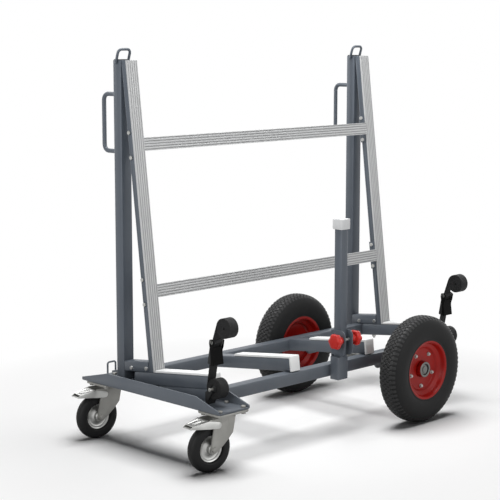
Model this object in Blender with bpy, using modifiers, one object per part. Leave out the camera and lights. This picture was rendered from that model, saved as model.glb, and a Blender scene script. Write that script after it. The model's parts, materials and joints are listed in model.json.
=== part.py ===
"""Slab buggy: a long low cart with a leaning rack that carries stone slabs on edge.

+X runs along the cart from the castors to the big wheels, +Y from the loading side to
the rack, +Z up. All sizes are metres. The origin is the middle of the plan, on the floor.
"""
import bpy
import bmesh
from math import acos, asin, cos, degrees, pi, radians, sin, tan
from mathutils import Matrix, Vector

# Driving dimensions of the whole cart
chassis_underside = 0.1995      # floor to the underside of the beams
wheel_radius = 0.1985
wheel_width = 0.092
wheel_track = 0.637             # between the middles of the two big wheels
rack_spacing = 1.2135           # between the middles of the two rack frames
rack_past_axle = 0.325          # big wheel axle to the right rack frame
rack_top = 1.330
lean = radians(7.0)             # the rack leans back, and the slabs' supports tip with it
upright_setback = 0.0168        # rear beam's back to the uprights' fronts
castor_wheel_radius = 0.080

# Fits and tools
gap = 0.0003                    # between pieces that touch
running_gap = 0.0006            # between pieces that turn or slide
overrun = 0.020                 # how far a cutter passes the faces it cuts
weld_distance = 0.000005        # points nearer than this are one point
corner_steps = 2                # facets on a rounded corner
hole_sides = 8
sharp_edge = radians(32.0)      # steeper folds than this stay sharp to the eye

# Steel sections
tube_wall = 0.0025
tube_corner = 0.0045
beam_width = 0.040
beam_height = 0.045
support_size = 0.045            # square tube
upright_width = 0.046
upright_depth = 0.042
lean_post_depth = 0.025
rack_foot_height = 0.036

# Ribbed aluminium profile
ribbed_width = 0.046
ribbed_thickness = 0.008
ribbed_groove_depth = 0.0016
ribbed_groove_count = 5
ribbed_groove_share = 0.45      # of the rib pitch

# Chassis
front_beam_inset = 0.145        # front wheel's middle to the front beam's face
tyre_clearance = 0.008          # rear beam to the back tyre
channel_past_rack = 0.1135      # left rack's middle to the channel's outer face
channel_width = 0.142
channel_height = 0.047
channel_web = 0.006
channel_flange = 0.005
channel_front = 0.0205          # front wheel's middle to the channel's front end
channel_past_wheel = 0.0887     # back wheel's middle to the channel's back end
channel_back = wheel_track + channel_past_wheel
channel_end_height = 0.013      # what is left of a flange at its chamfered end
channel_front_chamfer = 0.110
channel_back_chamfer = 0.140
beam_past_rack = 0.030          # right rack's middle to the beams' right ends

# Collections
scene_collection = bpy.context.scene.collection
for leftover in list(bpy.data.objects):
    bpy.data.objects.remove(leftover, do_unlink=True)
parts = bpy.data.collections.new("slab_buggy")
cutters = bpy.data.collections.new("slab_buggy_cutters")
scene_collection.children.link(parts)
scene_collection.children.link(cutters)


def material(name, colour, roughness, metallic=0.0):
    """A Principled material with a plain colour."""
    made = bpy.data.materials.new(name)
    made.use_nodes = True
    shader = made.node_tree.nodes["Principled BSDF"]
    shader.inputs["Base Color"].default_value = (*colour, 1.0)
    shader.inputs["Roughness"].default_value = roughness
    shader.inputs["Metallic"].default_value = metallic
    return made


slate_paint = material("slate_paint", (0.080, 0.095, 0.115), 0.45)
ribbed_alloy = material("ribbed_alloy", (0.55, 0.56, 0.57), 0.38, 0.9)
pale_pad = material("pale_pad", (0.60, 0.61, 0.62), 0.6)
black_rubber = material("black_rubber", (0.018, 0.018, 0.019), 0.75)
red_paint = material("red_paint", (0.33, 0.018, 0.015), 0.35)
red_plastic = material("red_plastic", (0.55, 0.020, 0.015), 0.4)
black_plastic = material("black_plastic", (0.020, 0.021, 0.023), 0.5)
zinc = material("zinc", (0.45, 0.46, 0.48), 0.35, 1.0)
black_steel = material("black_steel", (0.022, 0.022, 0.024), 0.45, 0.6)
webbing = material("webbing", (0.022, 0.022, 0.023), 0.85)


def empty(name, parent, location=(0, 0, 0), turn=(0, 0, 0)):
    """A joint axis or a tilted frame that pieces hang on."""
    made = bpy.data.objects.new(name, None)
    made.location = location
    made.rotation_euler = turn
    made.parent = parent
    parts.objects.link(made)
    return made


def add(name, mesh, finish, parent, location=(0, 0, 0), turn=(0, 0, 0)):
    """One named sub-part."""
    made = bpy.data.objects.new(name, mesh)
    made.data.materials.clear()
    made.data.materials.append(finish)
    made.location = location
    made.rotation_euler = turn
    made.parent = parent
    parts.objects.link(made)
    return made


def add_cutter(name, mesh, parent, location=(0, 0, 0), turn=(0, 0, 0)):
    """A shape that only cuts or joins another."""
    made = bpy.data.objects.new(name, mesh)
    made.location = location
    made.rotation_euler = turn
    made.parent = parent
    made.hide_render = True
    made.display_type = "WIRE"
    cutters.objects.link(made)
    return made


def boolean(target, tool, operation):
    """Cut a tool from a piece, or join it on."""
    modifier = target.modifiers.new(operation.lower(), "BOOLEAN")
    modifier.operation = operation
    modifier.solver = "EXACT"
    modifier.object = tool


def mesh_from(bm, name):
    """A mesh with outward faces, from a bmesh."""
    bmesh.ops.recalc_face_normals(bm, faces=bm.faces)
    mesh = bpy.data.meshes.new(name)
    bm.to_mesh(mesh)
    bm.free()
    return mesh


def box(size, centre=(0, 0, 0)):
    """A plain block."""
    bm = bmesh.new()
    bmesh.ops.create_cube(bm, size=1, matrix=Matrix.Translation(centre) @ Matrix.Diagonal((*size, 1)))
    return mesh_from(bm, "box")


turned_to = {
    "X": Matrix.Rotation(pi / 2, 4, "Y"),
    "Y": Matrix.Rotation(-pi / 2, 4, "X"),
    "Z": Matrix.Identity(4),
}


def rod(radius, start, end, along="Z", sides=12):
    """A cylinder along one axis, between two places on it."""
    bm = bmesh.new()
    middle = Matrix.Translation((0, 0, (start + end) / 2))
    bmesh.ops.create_cone(bm, cap_ends=True, segments=sides, radius1=radius, radius2=radius,
                          depth=end - start, matrix=turned_to[along] @ middle)
    return mesh_from(bm, "rod")


def moved(mesh, offset):
    """Shift a mesh within its object."""
    mesh.transform(Matrix.Translation(offset))
    return mesh


def rounded(points, radii, steps=corner_steps):
    """An outline whose corners are arcs; a radius of zero keeps a corner sharp."""
    outline = []
    count = len(points)
    for index, corner in enumerate(points):
        here = Vector(corner)
        if radii[index] == 0:
            outline.append(tuple(here))
            continue
        before = (Vector(points[index - 1]) - here).normalized()
        after = (Vector(points[(index + 1) % count]) - here).normalized()
        half = before.angle(after) / 2
        centre = here + (before + after).normalized() * (radii[index] / sin(half))
        first = here + before * (radii[index] / tan(half)) - centre
        last = here + after * (radii[index] / tan(half)) - centre
        sweep = first.angle_signed(last)
        for step in range(steps + 1):
            outline.append(tuple(centre + Matrix.Rotation(-sweep * step / steps, 2) @ first))
    return outline


def rectangle(width, height, radius, middle=(0, 0)):
    """A rounded rectangle about a middle point."""
    signs = ((-1, -1), (1, -1), (1, 1), (-1, 1))
    corners = [(middle[0] + across * width / 2, middle[1] + up * height / 2) for across, up in signs]
    return rounded(corners, [radius] * len(corners))


extruded_to = {
    "X": Matrix(((0, 0, 1, 0), (1, 0, 0, 0), (0, 1, 0, 0), (0, 0, 0, 1))),
    "Y": Matrix(((1, 0, 0, 0), (0, 0, -1, 0), (0, 1, 0, 0), (0, 0, 0, 1))),
    "Z": Matrix.Identity(4),
}


def extruded(outlines, start, end, along):
    """Flat outlines filled and extruded: (Y, Z) along X, (X, Z) along Y or (X, Y) along Z.
    The first outline is the outer one and the others are holes in it."""
    curve = bpy.data.curves.new("outline", "CURVE")
    curve.dimensions = "2D"
    curve.fill_mode = "BOTH"
    curve.extrude = (end - start) / 2
    for outline in outlines:
        spline = curve.splines.new("POLY")
        spline.points.add(len(outline) - 1)
        for point, place in zip(spline.points, outline):
            point.co = (place[0], place[1], 0, 1)
        spline.use_cyclic_u = True
    holder = bpy.data.objects.new("outline", curve)
    scene_collection.objects.link(holder)
    graph = bpy.context.evaluated_depsgraph_get()
    mesh = bpy.data.meshes.new_from_object(holder.evaluated_get(graph))
    bpy.data.objects.remove(holder, do_unlink=True)
    bm = bmesh.new()
    bm.from_mesh(mesh)
    bpy.data.meshes.remove(mesh)
    bmesh.ops.remove_doubles(bm, verts=bm.verts, dist=weld_distance)
    made = mesh_from(bm, "extruded")
    made.transform(extruded_to[along])
    middle = (start + end) / 2
    shift = {"X": (middle, 0, 0), "Y": (0, middle, 0), "Z": (0, 0, middle)}
    return moved(made, shift[along])


def tube(width, height, start, end, along, wall=tube_wall, middle=(0, 0)):
    """A rectangular steel tube, open at both ends."""
    inner = rectangle(width - 2 * wall, height - 2 * wall, 0, middle)
    return extruded([rectangle(width, height, tube_corner, middle), inner], start, end, along)


def slope_end(mesh, beyond, slope):
    """Slope the end of a piece that runs along Y, so that it meets an upright face."""
    for vertex in mesh.vertices:
        if vertex.co.y > beyond:
            vertex.co.y -= vertex.co.z * slope
    return mesh


def revolved(name, profile, steps, finish, parent, location=(0, 0, 0), turn=(0, 0, 0)):
    """A turned piece about its own Z: (radius, height) points, outer side top to bottom."""
    bm = bmesh.new()
    ring = [bm.verts.new((radius, 0, height)) for radius, height in profile]
    closed = min(radius for radius, height in profile) > 0
    for index in range(len(ring) if closed else len(ring) - 1):
        bm.edges.new((ring[index], ring[(index + 1) % len(ring)]))
    mesh = bpy.data.meshes.new(name)
    bm.to_mesh(mesh)
    bm.free()
    made = add(name, mesh, finish, parent, location, turn)
    screw = made.modifiers.new("turn", "SCREW")
    screw.steps = steps
    screw.render_steps = steps
    screw.use_merge_vertices = True
    screw.merge_threshold = weld_distance
    return made


def settled(made):
    """The finished mesh of an object whose modifiers have run; the object goes."""
    graph = bpy.context.evaluated_depsgraph_get()
    graph.update()
    mesh = bpy.data.meshes.new_from_object(made.evaluated_get(graph))
    bpy.data.objects.remove(made, do_unlink=True)
    return mesh


def fastener(shank, head_across, head_height, nut_height, grip, past_nut=0):
    """A hexagon bolt along Z, head up from z = 0, with its nut at the end of the grip."""
    head = head_across / 2
    profile = [(0, head_height), (head, head_height), (head, 0), (shank, 0)]
    if nut_height > 0:
        under = -grip - nut_height
        profile += [(shank, -grip), (head, -grip), (head, under)]
        if past_nut > 0:
            profile += [(shank, under), (shank, under - past_nut)]
        profile.append((0, under - past_nut))
    else:
        profile += [(shank, -grip), (0, -grip)]
    return settled(revolved("fastener", profile, 6, zinc, None))


def bent_bar(points, radius, bends, sides_resolution=2, steps=4):
    """A round bar through corner points in space, with a bend at each inner corner."""
    route = [Vector(points[0])]
    for index in range(1, len(points) - 1):
        here = Vector(points[index])
        before = (Vector(points[index - 1]) - here).normalized()
        after = (Vector(points[index + 1]) - here).normalized()
        half = before.angle(after) / 2
        reach = bends / tan(half)
        centre = here + (before + after).normalized() * (bends / sin(half))
        first = here + before * reach - centre
        last = here + after * reach - centre
        for step in range(steps + 1):
            route.append(centre + first.slerp(last, step / steps).normalized() * bends)
    route.append(Vector(points[-1]))
    curve = bpy.data.curves.new("bar", "CURVE")
    curve.dimensions = "3D"
    curve.bevel_depth = radius
    curve.bevel_resolution = sides_resolution
    curve.use_fill_caps = True
    spline = curve.splines.new("POLY")
    spline.points.add(len(route) - 1)
    for point, place in zip(spline.points, route):
        point.co = (*place, 1)
    holder = bpy.data.objects.new("bar", curve)
    scene_collection.objects.link(holder)
    mesh = settled(holder)
    bm = bmesh.new()
    bm.from_mesh(mesh)
    bpy.data.meshes.remove(mesh)
    bmesh.ops.remove_doubles(bm, verts=bm.verts, dist=weld_distance)
    return mesh_from(bm, "bar")


# Worked-out places
root = empty("buggy_frame", None)
beam_middle_height = chassis_underside + beam_height / 2
beam_top = chassis_underside + beam_height
front_beam_middle = front_beam_inset + beam_width / 2
front_beam_back = front_beam_inset + beam_width
rear_beam_back = wheel_track - wheel_width / 2 - tyre_clearance
rear_beam_front = rear_beam_back - beam_width
rear_beam_middle = rear_beam_back - beam_width / 2
right_rack = rack_past_axle
left_rack = rack_past_axle - rack_spacing
channel_outer = left_rack - channel_past_rack
channel_inner = channel_outer + channel_width
channel_middle = (channel_outer + channel_inner) / 2
web_top = chassis_underside + channel_web
beam_right_end = right_rack + beam_past_rack
upright_front = rear_beam_back + upright_setback
upright_middle = upright_front + upright_depth / 2
upright_back = upright_front + upright_depth
ribbed_back = ribbed_thickness
lean_post_front = ribbed_back + gap
lean_post_back = lean_post_front + lean_post_depth
lean_post_middle = (lean_post_front + lean_post_back) / 2
heel_rise = rack_top - beam_top - gap - support_size / cos(lean) - front_beam_back * tan(lean)
heel_depth = (upright_front - gap - lean_post_back / cos(lean) - heel_rise * tan(lean)) * cos(lean) ** 2
heel_height = (beam_top + gap - (heel_depth - front_beam_back) * tan(lean)
               + support_size / cos(lean))

# The tilted frame: its origin is the heel, its Z runs up the rack, its Y under the slabs
tilt = empty("rack_tilt", root, (0, heel_depth, heel_height), (-lean, 0, 0))


def tilted_to_world(y, z):
    """World depth and height of a point of the tilted frame."""
    return (heel_depth + y * cos(lean) + z * sin(lean), heel_height - y * sin(lean) + z * cos(lean))


# End channel: a folded steel channel, web down, whose flanges fall away at both ends
tie_loop_radius = 0.0035
tie_loop_inset = 0.010
tie_loop_rise = 0.0490
tie_loop_reach = 0.028
tie_loop_bend = 0.008


def tie_loop():
    """A small staple over the channel's inner flange at its back end."""
    depth = channel_back - tie_loop_inset
    low = chassis_underside + channel_end_height - channel_web
    top = chassis_underside + tie_loop_rise
    inner = channel_inner - channel_flange - tie_loop_reach
    outer = channel_inner + gap + tie_loop_radius
    points = [(inner, depth, web_top - gap), (inner, depth, top), (outer, depth, top), (outer, depth, low)]
    return bent_bar(points, tie_loop_radius, tie_loop_bend)


def build_end_channel():
    half = channel_height / 2
    middle_height = chassis_underside + half
    outline = rounded(
        [(channel_outer, middle_height + half), (channel_outer, middle_height - half),
         (channel_inner, middle_height - half), (channel_inner, middle_height + half),
         (channel_inner - channel_flange, middle_height + half), (channel_inner - channel_flange, web_top),
         (channel_outer + channel_flange, web_top), (channel_outer + channel_flange, middle_height + half)],
        [0, channel_web, channel_web, 0, 0, 0, 0, 0])
    mesh = extruded([outline], channel_front, channel_back, "Y")
    channel = add("end_channel", mesh, slate_paint, root)
    top = chassis_underside + channel_height
    low = chassis_underside + channel_end_height
    ends = ((channel_front, 1, channel_front_chamfer), (channel_back, -1, channel_back_chamfer))
    for end, inward, run in ends:
        slope = (top - low) / run
        outline = rounded(
            [(end, low), (end + inward * run, top),
             (end + inward * (run + overrun), top + overrun * slope), (end + inward * run, top + overrun * 2),
             (end - inward * overrun, top + overrun * 2), (end - inward * overrun, low - overrun * slope)],
            [0, 0, 0, 0, 0, 0])
        tool = extruded([outline], channel_outer - overrun, channel_inner + overrun, "X")
        boolean(channel, add_cutter("channel_chamfer", tool, root), "DIFFERENCE")
    boolean(channel, add_cutter("tie_loop", tie_loop(), root), "UNION")
    return channel


end_channel = build_end_channel()

# Beams: two rectangular tubes from the channel's inner flange to the right end
beam_start = channel_inner + gap


def build_beam(name, middle):
    section = tube(beam_width, beam_height, beam_start, beam_right_end, "X",
                   middle=(middle, beam_middle_height))
    return add(name, section, slate_paint, root)


front_beam = build_beam("front_beam", front_beam_middle)
rear_beam = build_beam("rear_beam", rear_beam_middle)
weld_bite = 0.001               # how far a welded piece runs into its neighbour

# Caps in the uprights' open tops
plug_cap = 0.003
plug_depth = 0.012
plug_margin = 0.002             # the cap stops short of the tube's outside
plug_ease = 0.0004


def plug(width, height, wall=tube_wall):
    """A pressed-in end plug, its cap above z = 0 and its stem below."""
    outline = rectangle(width - 2 * plug_margin, height - 2 * plug_margin, tube_corner)
    cap = add_cutter("plug_cap", extruded([outline], gap, plug_cap, "Z"), None)
    inner_width = width - 2 * (wall + plug_ease)
    inner_height = height - 2 * (wall + plug_ease)
    stem = extruded([rectangle(inner_width, inner_height, 0)], -plug_depth, plug_cap / 2, "Z")
    boolean(cap, add_cutter("plug_stem", stem, None), "UNION")
    return settled(cap)


def build_upright_caps():
    upright_plug = plug(upright_width, upright_depth)
    for side, rack in (("left", left_rack), ("right", right_rack)):
        add(f"upright_cap_{side}", upright_plug, black_plastic, root, (rack, upright_middle, rack_top))


# Lean posts, ribbed posts and uprights of the two rack frames
lean_length = (rack_top - heel_height) / cos(lean) + overrun
crossbar_upper_drop = 0.2868    # rack's top to the upper crossbar's middle
crossbar_lower_level = 0.5381   # above the floor
crossbar_levels = {"crossbar_upper": rack_top - crossbar_upper_drop, "crossbar_lower": crossbar_lower_level}
bracket_hole_offset = 0.043
rack_bolt_shank = 0.004
rack_bolt_hole = 0.0045
rack_bolt_head = 0.0145
rack_bolt_height = 0.0055
rack_nut_height = 0.0065
bracket_thickness = 0.004
bracket_length = 0.108
bracket_tongue = 0.055


def tilted_height(world_height):
    """Height up the tilted frame of a point on the ribbed face."""
    return (world_height - heel_height) / cos(lean)


def ribbed_section(across_x):
    """The ribbed profile's section: grooves on its front face."""
    pitch = ribbed_width / ribbed_groove_count
    groove = pitch * ribbed_groove_share
    taper = ribbed_groove_depth / 2
    front = []
    for index in range(ribbed_groove_count):
        middle = -ribbed_width / 2 + pitch * (index + 0.5)
        front += [(middle - groove / 2, 0), (middle - groove / 2 + taper, ribbed_groove_depth),
                  (middle + groove / 2 - taper, ribbed_groove_depth), (middle + groove / 2, 0)]
    outline = [(-ribbed_width / 2, ribbed_thickness), (-ribbed_width / 2, 0), *front,
               (ribbed_width / 2, 0), (ribbed_width / 2, ribbed_thickness)]
    return outline if across_x else [(depth, width) for width, depth in outline]


def rack_holes():
    """Heights up the tilted frame of the bolts through a lean post."""
    return [tilted_height(level) + side * bracket_hole_offset
            for level in crossbar_levels.values() for side in (1, -1)]


# Lashing eyes welded beside the upright tops, and push handles welded to the upright backs
eye_radius = 0.0050
eye_rise = 0.042
eye_forward = 0.016
eye_bend = 0.014
eye_weld = 0.012
handle_radius = 0.008
handle_reach = 0.078
handle_drop = 0.118             # rack's top to the handle's upper bar
handle_spread = 0.199
handle_bend = 0.022


def lashing_eye():
    half = upright_width / 2 + eye_radius - weld_bite
    foot = rack_top - eye_weld
    top = rack_top + eye_rise - eye_radius
    points = [(-half, upright_middle, foot), (-half, upright_middle - eye_forward, top),
              (half, upright_middle - eye_forward, top), (half, upright_middle, foot)]
    return bent_bar(points, eye_radius, eye_bend)


def push_handle():
    start = upright_back - weld_bite
    reach = upright_back + handle_reach
    handle_top = rack_top - handle_drop
    handle_bottom = handle_top - handle_spread
    points = [(0, start, handle_top), (0, reach, handle_top),
              (0, reach, handle_bottom), (0, start, handle_bottom)]
    return bent_bar(points, handle_radius, handle_bend, 3)


def build_racks():
    trim_length = rack_spacing + 2 * overrun + upright_width
    trim = add_cutter("rack_top_trim", box((trim_length, heel_depth, overrun * 3),
                                           ((left_rack + right_rack) / 2, upright_front, overrun * 1.5)),
                      root, (0, 0, rack_top))
    for side, rack, foot in (("left", left_rack, web_top + gap), ("right", right_rack, chassis_underside)):
        section = tube(upright_width, upright_depth, foot, rack_top, "Z", middle=(rack, upright_middle))
        upright = add(f"upright_{side}", section, slate_paint, root)
        boolean(upright, add_cutter("lashing_eye", lashing_eye(), root, (rack, 0, 0)), "UNION")
        boolean(upright, add_cutter("push_handle", push_handle(), root, (rack, 0, 0)), "UNION")
        section = tube(support_size, lean_post_depth, gap, lean_length, "Z", middle=(rack, lean_post_middle))
        post = add(f"lean_post_{side}", section, slate_paint, tilt)
        boolean(post, trim, "DIFFERENCE")
        for height in rack_holes():
            hole = rod(rack_bolt_hole, -upright_width, upright_width, "X", hole_sides)
            place = (rack, lean_post_middle, height)
            boolean(post, add_cutter("rack_bolt_hole", hole, tilt, place), "DIFFERENCE")
        outline = [(rack + across, depth) for across, depth in ribbed_section(True)]
        ribbed = add(f"ribbed_post_{side}", extruded([outline], gap, lean_length, "Z"), ribbed_alloy, tilt)
        boolean(ribbed, trim, "DIFFERENCE")


build_racks()


# Crossbars: the same ribbed profile, end to end between the ribbed posts
def build_crossbars():
    start = left_rack + ribbed_width / 2 + gap
    end = right_rack - ribbed_width / 2 - gap
    for name, level in crossbar_levels.items():
        middle = tilted_height(level)
        outline = [(depth, across + middle) for depth, across in ribbed_section(False)]
        add(name, extruded([outline], start, end, "X"), ribbed_alloy, tilt)


build_crossbars()


# Angle brackets that tie each crossbar end to the side of its lean post
def build_brackets():
    post_side = support_size / 2 + gap
    half = support_size / 2
    sideways = (0, -pi / 2, 0)
    bolt = fastener(rack_bolt_shank, rack_bolt_head, rack_bolt_height, rack_nut_height,
                    support_size + bracket_thickness + gap)
    for side, rack, facing in (("left", left_rack, 1), ("right", right_rack, -1)):
        leg_middle = facing * (post_side + bracket_thickness / 2)
        tongue_depth = ribbed_back + gap + bracket_thickness / 2
        tongue_middle = facing * (post_side + bracket_tongue / 2)
        head = rack - half - (gap if facing > 0 else bracket_thickness)
        for name, level in crossbar_levels.items():
            middle = tilted_height(level)
            leg = box((bracket_thickness, lean_post_depth, bracket_length),
                      (rack + leg_middle, lean_post_middle, middle))
            bracket = add(f"{name}_bracket_{side}", leg, slate_paint, tilt)
            tongue = box((bracket_tongue, bracket_thickness, ribbed_width - 2 * bracket_thickness),
                         (rack + tongue_middle, tongue_depth, middle))
            boolean(bracket, add_cutter("bracket_tongue", tongue, tilt), "UNION")
            for up in (1, -1):
                place = (head, lean_post_middle, middle + up * bracket_hole_offset)
                boolean(bracket, add_cutter("bracket_bolt", bolt, tilt, place, sideways), "UNION")


build_brackets()

# Rack feet: short tubes on the supports' tops, between lean post and upright
rack_foot_front = lean_post_back + gap
upright_face_tilted = (upright_front - gap - heel_depth) / cos(lean)
foot_bolt_height = 0.013
foot_bolt_inset = 0.010
foot_bolt_back_inset = 0.0425
support_rear_tilted = (rear_beam_front - gap - heel_depth) / cos(lean)
anchor_depth = (lean_post_back + support_rear_tilted) / 2
anchor_shank = 0.005
anchor_hole = 0.0056
anchor_head = 0.017
anchor_head_height = 0.0065
anchor_nut_height = 0.008
anchor_past_nut = 0.006


def foot_bolt_depths():
    return (rack_foot_front + foot_bolt_inset, upright_face_tilted - foot_bolt_back_inset)


def build_rack_feet():
    sideways = (0, -pi / 2, 0)
    grip = support_size - 2 * gap
    side_bolt = fastener(rack_bolt_shank, rack_bolt_head, rack_bolt_height, rack_nut_height, grip)
    anchor_start = gap + tube_wall - gap
    through = fastener(anchor_shank, anchor_head, anchor_head_height, anchor_nut_height,
                       anchor_start + support_size + gap, anchor_past_nut)
    short = fastener(anchor_shank, anchor_head, anchor_head_height, 0, anchor_start + 2 * tube_wall)
    for side, rack, anchor in (("left", left_rack, short), ("right", right_rack, through)):
        section = tube(support_size, rack_foot_height, rack_foot_front, upright_face_tilted, "Y",
                       middle=(rack, gap + rack_foot_height / 2))
        slope_end(section, (rack_foot_front + upright_face_tilted) / 2, tan(lean))
        foot = add(f"rack_foot_{side}", section, slate_paint, tilt)
        for depth in foot_bolt_depths():
            place = (rack - support_size / 2 + gap, depth, foot_bolt_height)
            boolean(foot, add_cutter("foot_bolt", side_bolt, tilt, place, sideways), "UNION")
        if side == "right":
            over_beam = box((2 * support_size, upright_front - rear_beam_front + gap, overrun),
                            (rack, (upright_front + rear_beam_front - gap) / 2, beam_top + gap - overrun / 2))
            boolean(foot, add_cutter("rack_foot_beam_cut", over_beam, root), "DIFFERENCE")
        place = (rack, anchor_depth, anchor_start)
        boolean(foot, add_cutter("anchor_bolt", anchor, tilt, place), "UNION")


build_rack_feet()

# Supports: four square tubes across the chassis, tipped square to the rack
support_setback = 0.015         # front beam's face to the supports' front ends
support_inner_shares = (0.3139, 0.6435)     # of the rack spacing, from the left rack
support_front = front_beam_inset + support_setback
support_front_tilted = (support_front - heel_depth) / cos(lean)
support_inner = [left_rack + rack_spacing * share for share in support_inner_shares]
support_places = [left_rack, *support_inner, right_rack]


def build_supports():
    for number, place in enumerate(support_places, 1):
        section = tube(support_size, support_size, support_front_tilted, support_rear_tilted, "Y",
                       middle=(place, -support_size / 2))
        slope_end(section, (support_front_tilted + support_rear_tilted) / 2, tan(lean))
        bar = add(f"support_bar_{number}", section, slate_paint, tilt)
        if place == left_rack:
            floor = box((channel_width, channel_back, overrun),
                        (channel_middle, channel_back / 2, web_top + gap - overrun / 2))
            boolean(bar, add_cutter("support_bar_foot_cut", floor, root), "DIFFERENCE")
        if place in (left_rack, right_rack):
            deep = 2 * support_size if place == right_rack else support_size / 2
            hole = rod(anchor_hole, -deep, overrun, "Z", hole_sides)
            hole = add_cutter("support_anchor_hole", hole, tilt, (place, anchor_depth, 0))
            boolean(bar, hole, "DIFFERENCE")


build_supports()

# Pads: pale buffer strips on the supports, folded down over their front ends
pad_thickness = 0.008
pad_drop = 0.047                # how far the folded end comes down
pad_round = 0.003


def build_pads():
    front = support_front_tilted - gap
    outline = rounded(
        [(-gap, gap), (-gap, gap + pad_thickness), (front - pad_thickness, gap + pad_thickness),
         (front - pad_thickness, -pad_drop), (front, -pad_drop), (front, gap)],
        [0, pad_round, pad_round, pad_round, 0, 0])
    pad = extruded([outline], -support_size / 2, support_size / 2, "X")
    for number, place in enumerate(support_places, 1):
        add(f"support_pad_{number}", pad, pale_pad, tilt, (place, 0, 0))


build_pads()

# Packer: a folded wedge that carries the left support above the channel's web
packer_width = 0.036
packer_front_setback = 0.012
packer_wall = 0.004
packer_end_height = 0.010


def build_packer():
    front = support_front + packer_front_setback
    underside_front = tilted_to_world(support_front_tilted, -support_size)
    bottom = web_top + gap

    def underside(depth):
        return underside_front[1] - (depth - underside_front[0]) * tan(lean) - 2 * gap

    back = underside_front[0] + (underside_front[1] - 2 * gap - bottom - packer_end_height) / tan(lean)
    outline = [(front, bottom), (back, bottom), (back, underside(back)), (front, underside(front))]
    mesh = extruded([outline], left_rack - packer_width / 2, left_rack + packer_width / 2, "X")
    packer = add("channel_packer", mesh, slate_paint, root)
    inner = [(front - overrun, bottom - overrun), (back + overrun, bottom - overrun),
             (back + overrun, underside(back + overrun) - packer_wall),
             (front - overrun, underside(front - overrun) - packer_wall)]
    half = packer_width / 2 - packer_wall
    mesh = extruded([inner], left_rack - half, left_rack + half, "X")
    boolean(packer, add_cutter("packer_hollow", mesh, root), "DIFFERENCE")


build_packer()

build_upright_caps()

# Castors: plate, swivelling fork, wheel and brake pedal
castor_total_height = chassis_underside - gap
castor_front_inset = 0.0515     # channel's front end to the front castor's axis
castor_back_inset = 0.0717      # channel's back end to the back castor's axis
castor_trail = 0.060
castor_facets = 20              # the same on tyre and core, so that they nest
castor_rest_turn = radians(-7.0)
castor_wheel_width = 0.040
castor_plate_length = 0.135
castor_plate_width = 0.110
castor_plate_thickness = 0.007
castor_plate_round = 0.010
castor_hole_length = 0.105
castor_hole_width = 0.080
castor_hole = 0.0056
castor_bolt_shank = 0.005
castor_bolt_head = 0.0165
castor_bolt_height = 0.0065
castor_nut_height = 0.008
castor_race_facets = 16
castor_race_radius = 0.036
castor_race_share = 0.9         # where it meets the plate
castor_race_depth = 0.009
castor_spigot = 0.008
castor_spigot_flange = 0.013
castor_crown_thickness = 0.004
castor_crown_front = 0.034
castor_crown_back = 0.038
castor_crown_round = 0.012
castor_leg_thickness = 0.004
castor_leg_inside = 0.0262
castor_axle = 0.006
castor_axle_head = 0.019
castor_tread_depth = 0.0355     # how thick the rubber is, down to the core
castor_tyre_shares = ((0.0, 0.62), (0.10, 0.92), (0.50, 1.0), (0.84, 0.84), (1.0, 0.40))
castor_hub_radius = 0.017
castor_web_half = 0.0035        # half the core's web, at its rim
castor_web_swell = 0.004        # how much thicker it is at the hub
castor_lip_width = 0.007
castor_lip_root = 0.010
castor_lip_inset = 0.008        # tyre's side to the core's lip
castor_depths = {"front": channel_front + castor_front_inset, "back": channel_back - castor_back_inset}
plate_bottom = castor_total_height - castor_plate_thickness
crown_top = plate_bottom - castor_race_depth - running_gap
crown_bottom = crown_top - castor_crown_thickness


def castor_hole_places():
    return [(across * castor_hole_length / 2, along * castor_hole_width / 2)
            for across in (-1, 1) for along in (-1, 1)]


def build_castor_plate(name, swivel):
    outline = rectangle(castor_plate_length, castor_plate_width, castor_plate_round)
    plate = add(name, extruded([outline], plate_bottom, castor_total_height, "Z"), zinc, swivel)
    profile = [(castor_race_radius * castor_race_share, plate_bottom + castor_plate_thickness / 2),
               (castor_race_radius, plate_bottom - castor_race_depth / 3),
               (castor_race_radius, plate_bottom - castor_race_depth),
               (castor_spigot, plate_bottom - castor_race_depth),
               (castor_spigot, crown_bottom - running_gap),
               (castor_spigot_flange, crown_bottom - running_gap),
               (castor_spigot_flange, crown_bottom - running_gap - castor_crown_thickness / 2)]
    profile = [(0, profile[0][1]), *profile, (0, profile[-1][1])]
    race = settled(revolved("race", profile, castor_race_facets, zinc, None))
    boolean(plate, add_cutter("castor_race", race, swivel), "UNION")
    grip = web_top + gap - (plate_bottom + gap)
    bolt = fastener(castor_bolt_shank, castor_bolt_head, castor_bolt_height, castor_nut_height, grip)
    for across, along in castor_hole_places():
        boolean(plate, add_cutter("castor_bolt", bolt, swivel, (across, along, web_top + gap)), "UNION")


# Fork legs: folded side plates that reach back over the wheel and bulge forward below the crown
leg_front = 0.027               # from the swivel axis
leg_arm_back = 0.076
leg_arm_bottom = 0.153          # above the floor
leg_corner_back = 0.0605        # the corner over the axle where the arm leaves the leg
leg_eye_radius = 0.014
leg_edge_shares = ((0.966, 0.80), (0.885, 0.468), (0.632, 0.244), (0.414, 0.078))
leg_eye_steps = 5

# Brake pedal: a channel whose arms lie outside the legs and draw in to the tread
pedal_pivot_back = 0.043        # from the swivel axis
pedal_pivot_height = 0.161
pedal_pin = 0.0038
pedal_boss_radius = 0.011
pedal_boss_steps = 6
pedal_shoulder_back = 0.078
pedal_shoulder_height = 0.1800
pedal_end_back = 0.136
pedal_end_height = 0.1690
pedal_tip_back = 0.148
pedal_tip_height = 0.1590
pedal_heel_back = 0.118         # where the lower lip starts
pedal_heel_height = 0.1565
pedal_thickness = 0.003
pedal_arm_gap = 0.0008
pedal_draw_share = 0.38         # of the arms' spacing, lost at the tip


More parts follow.
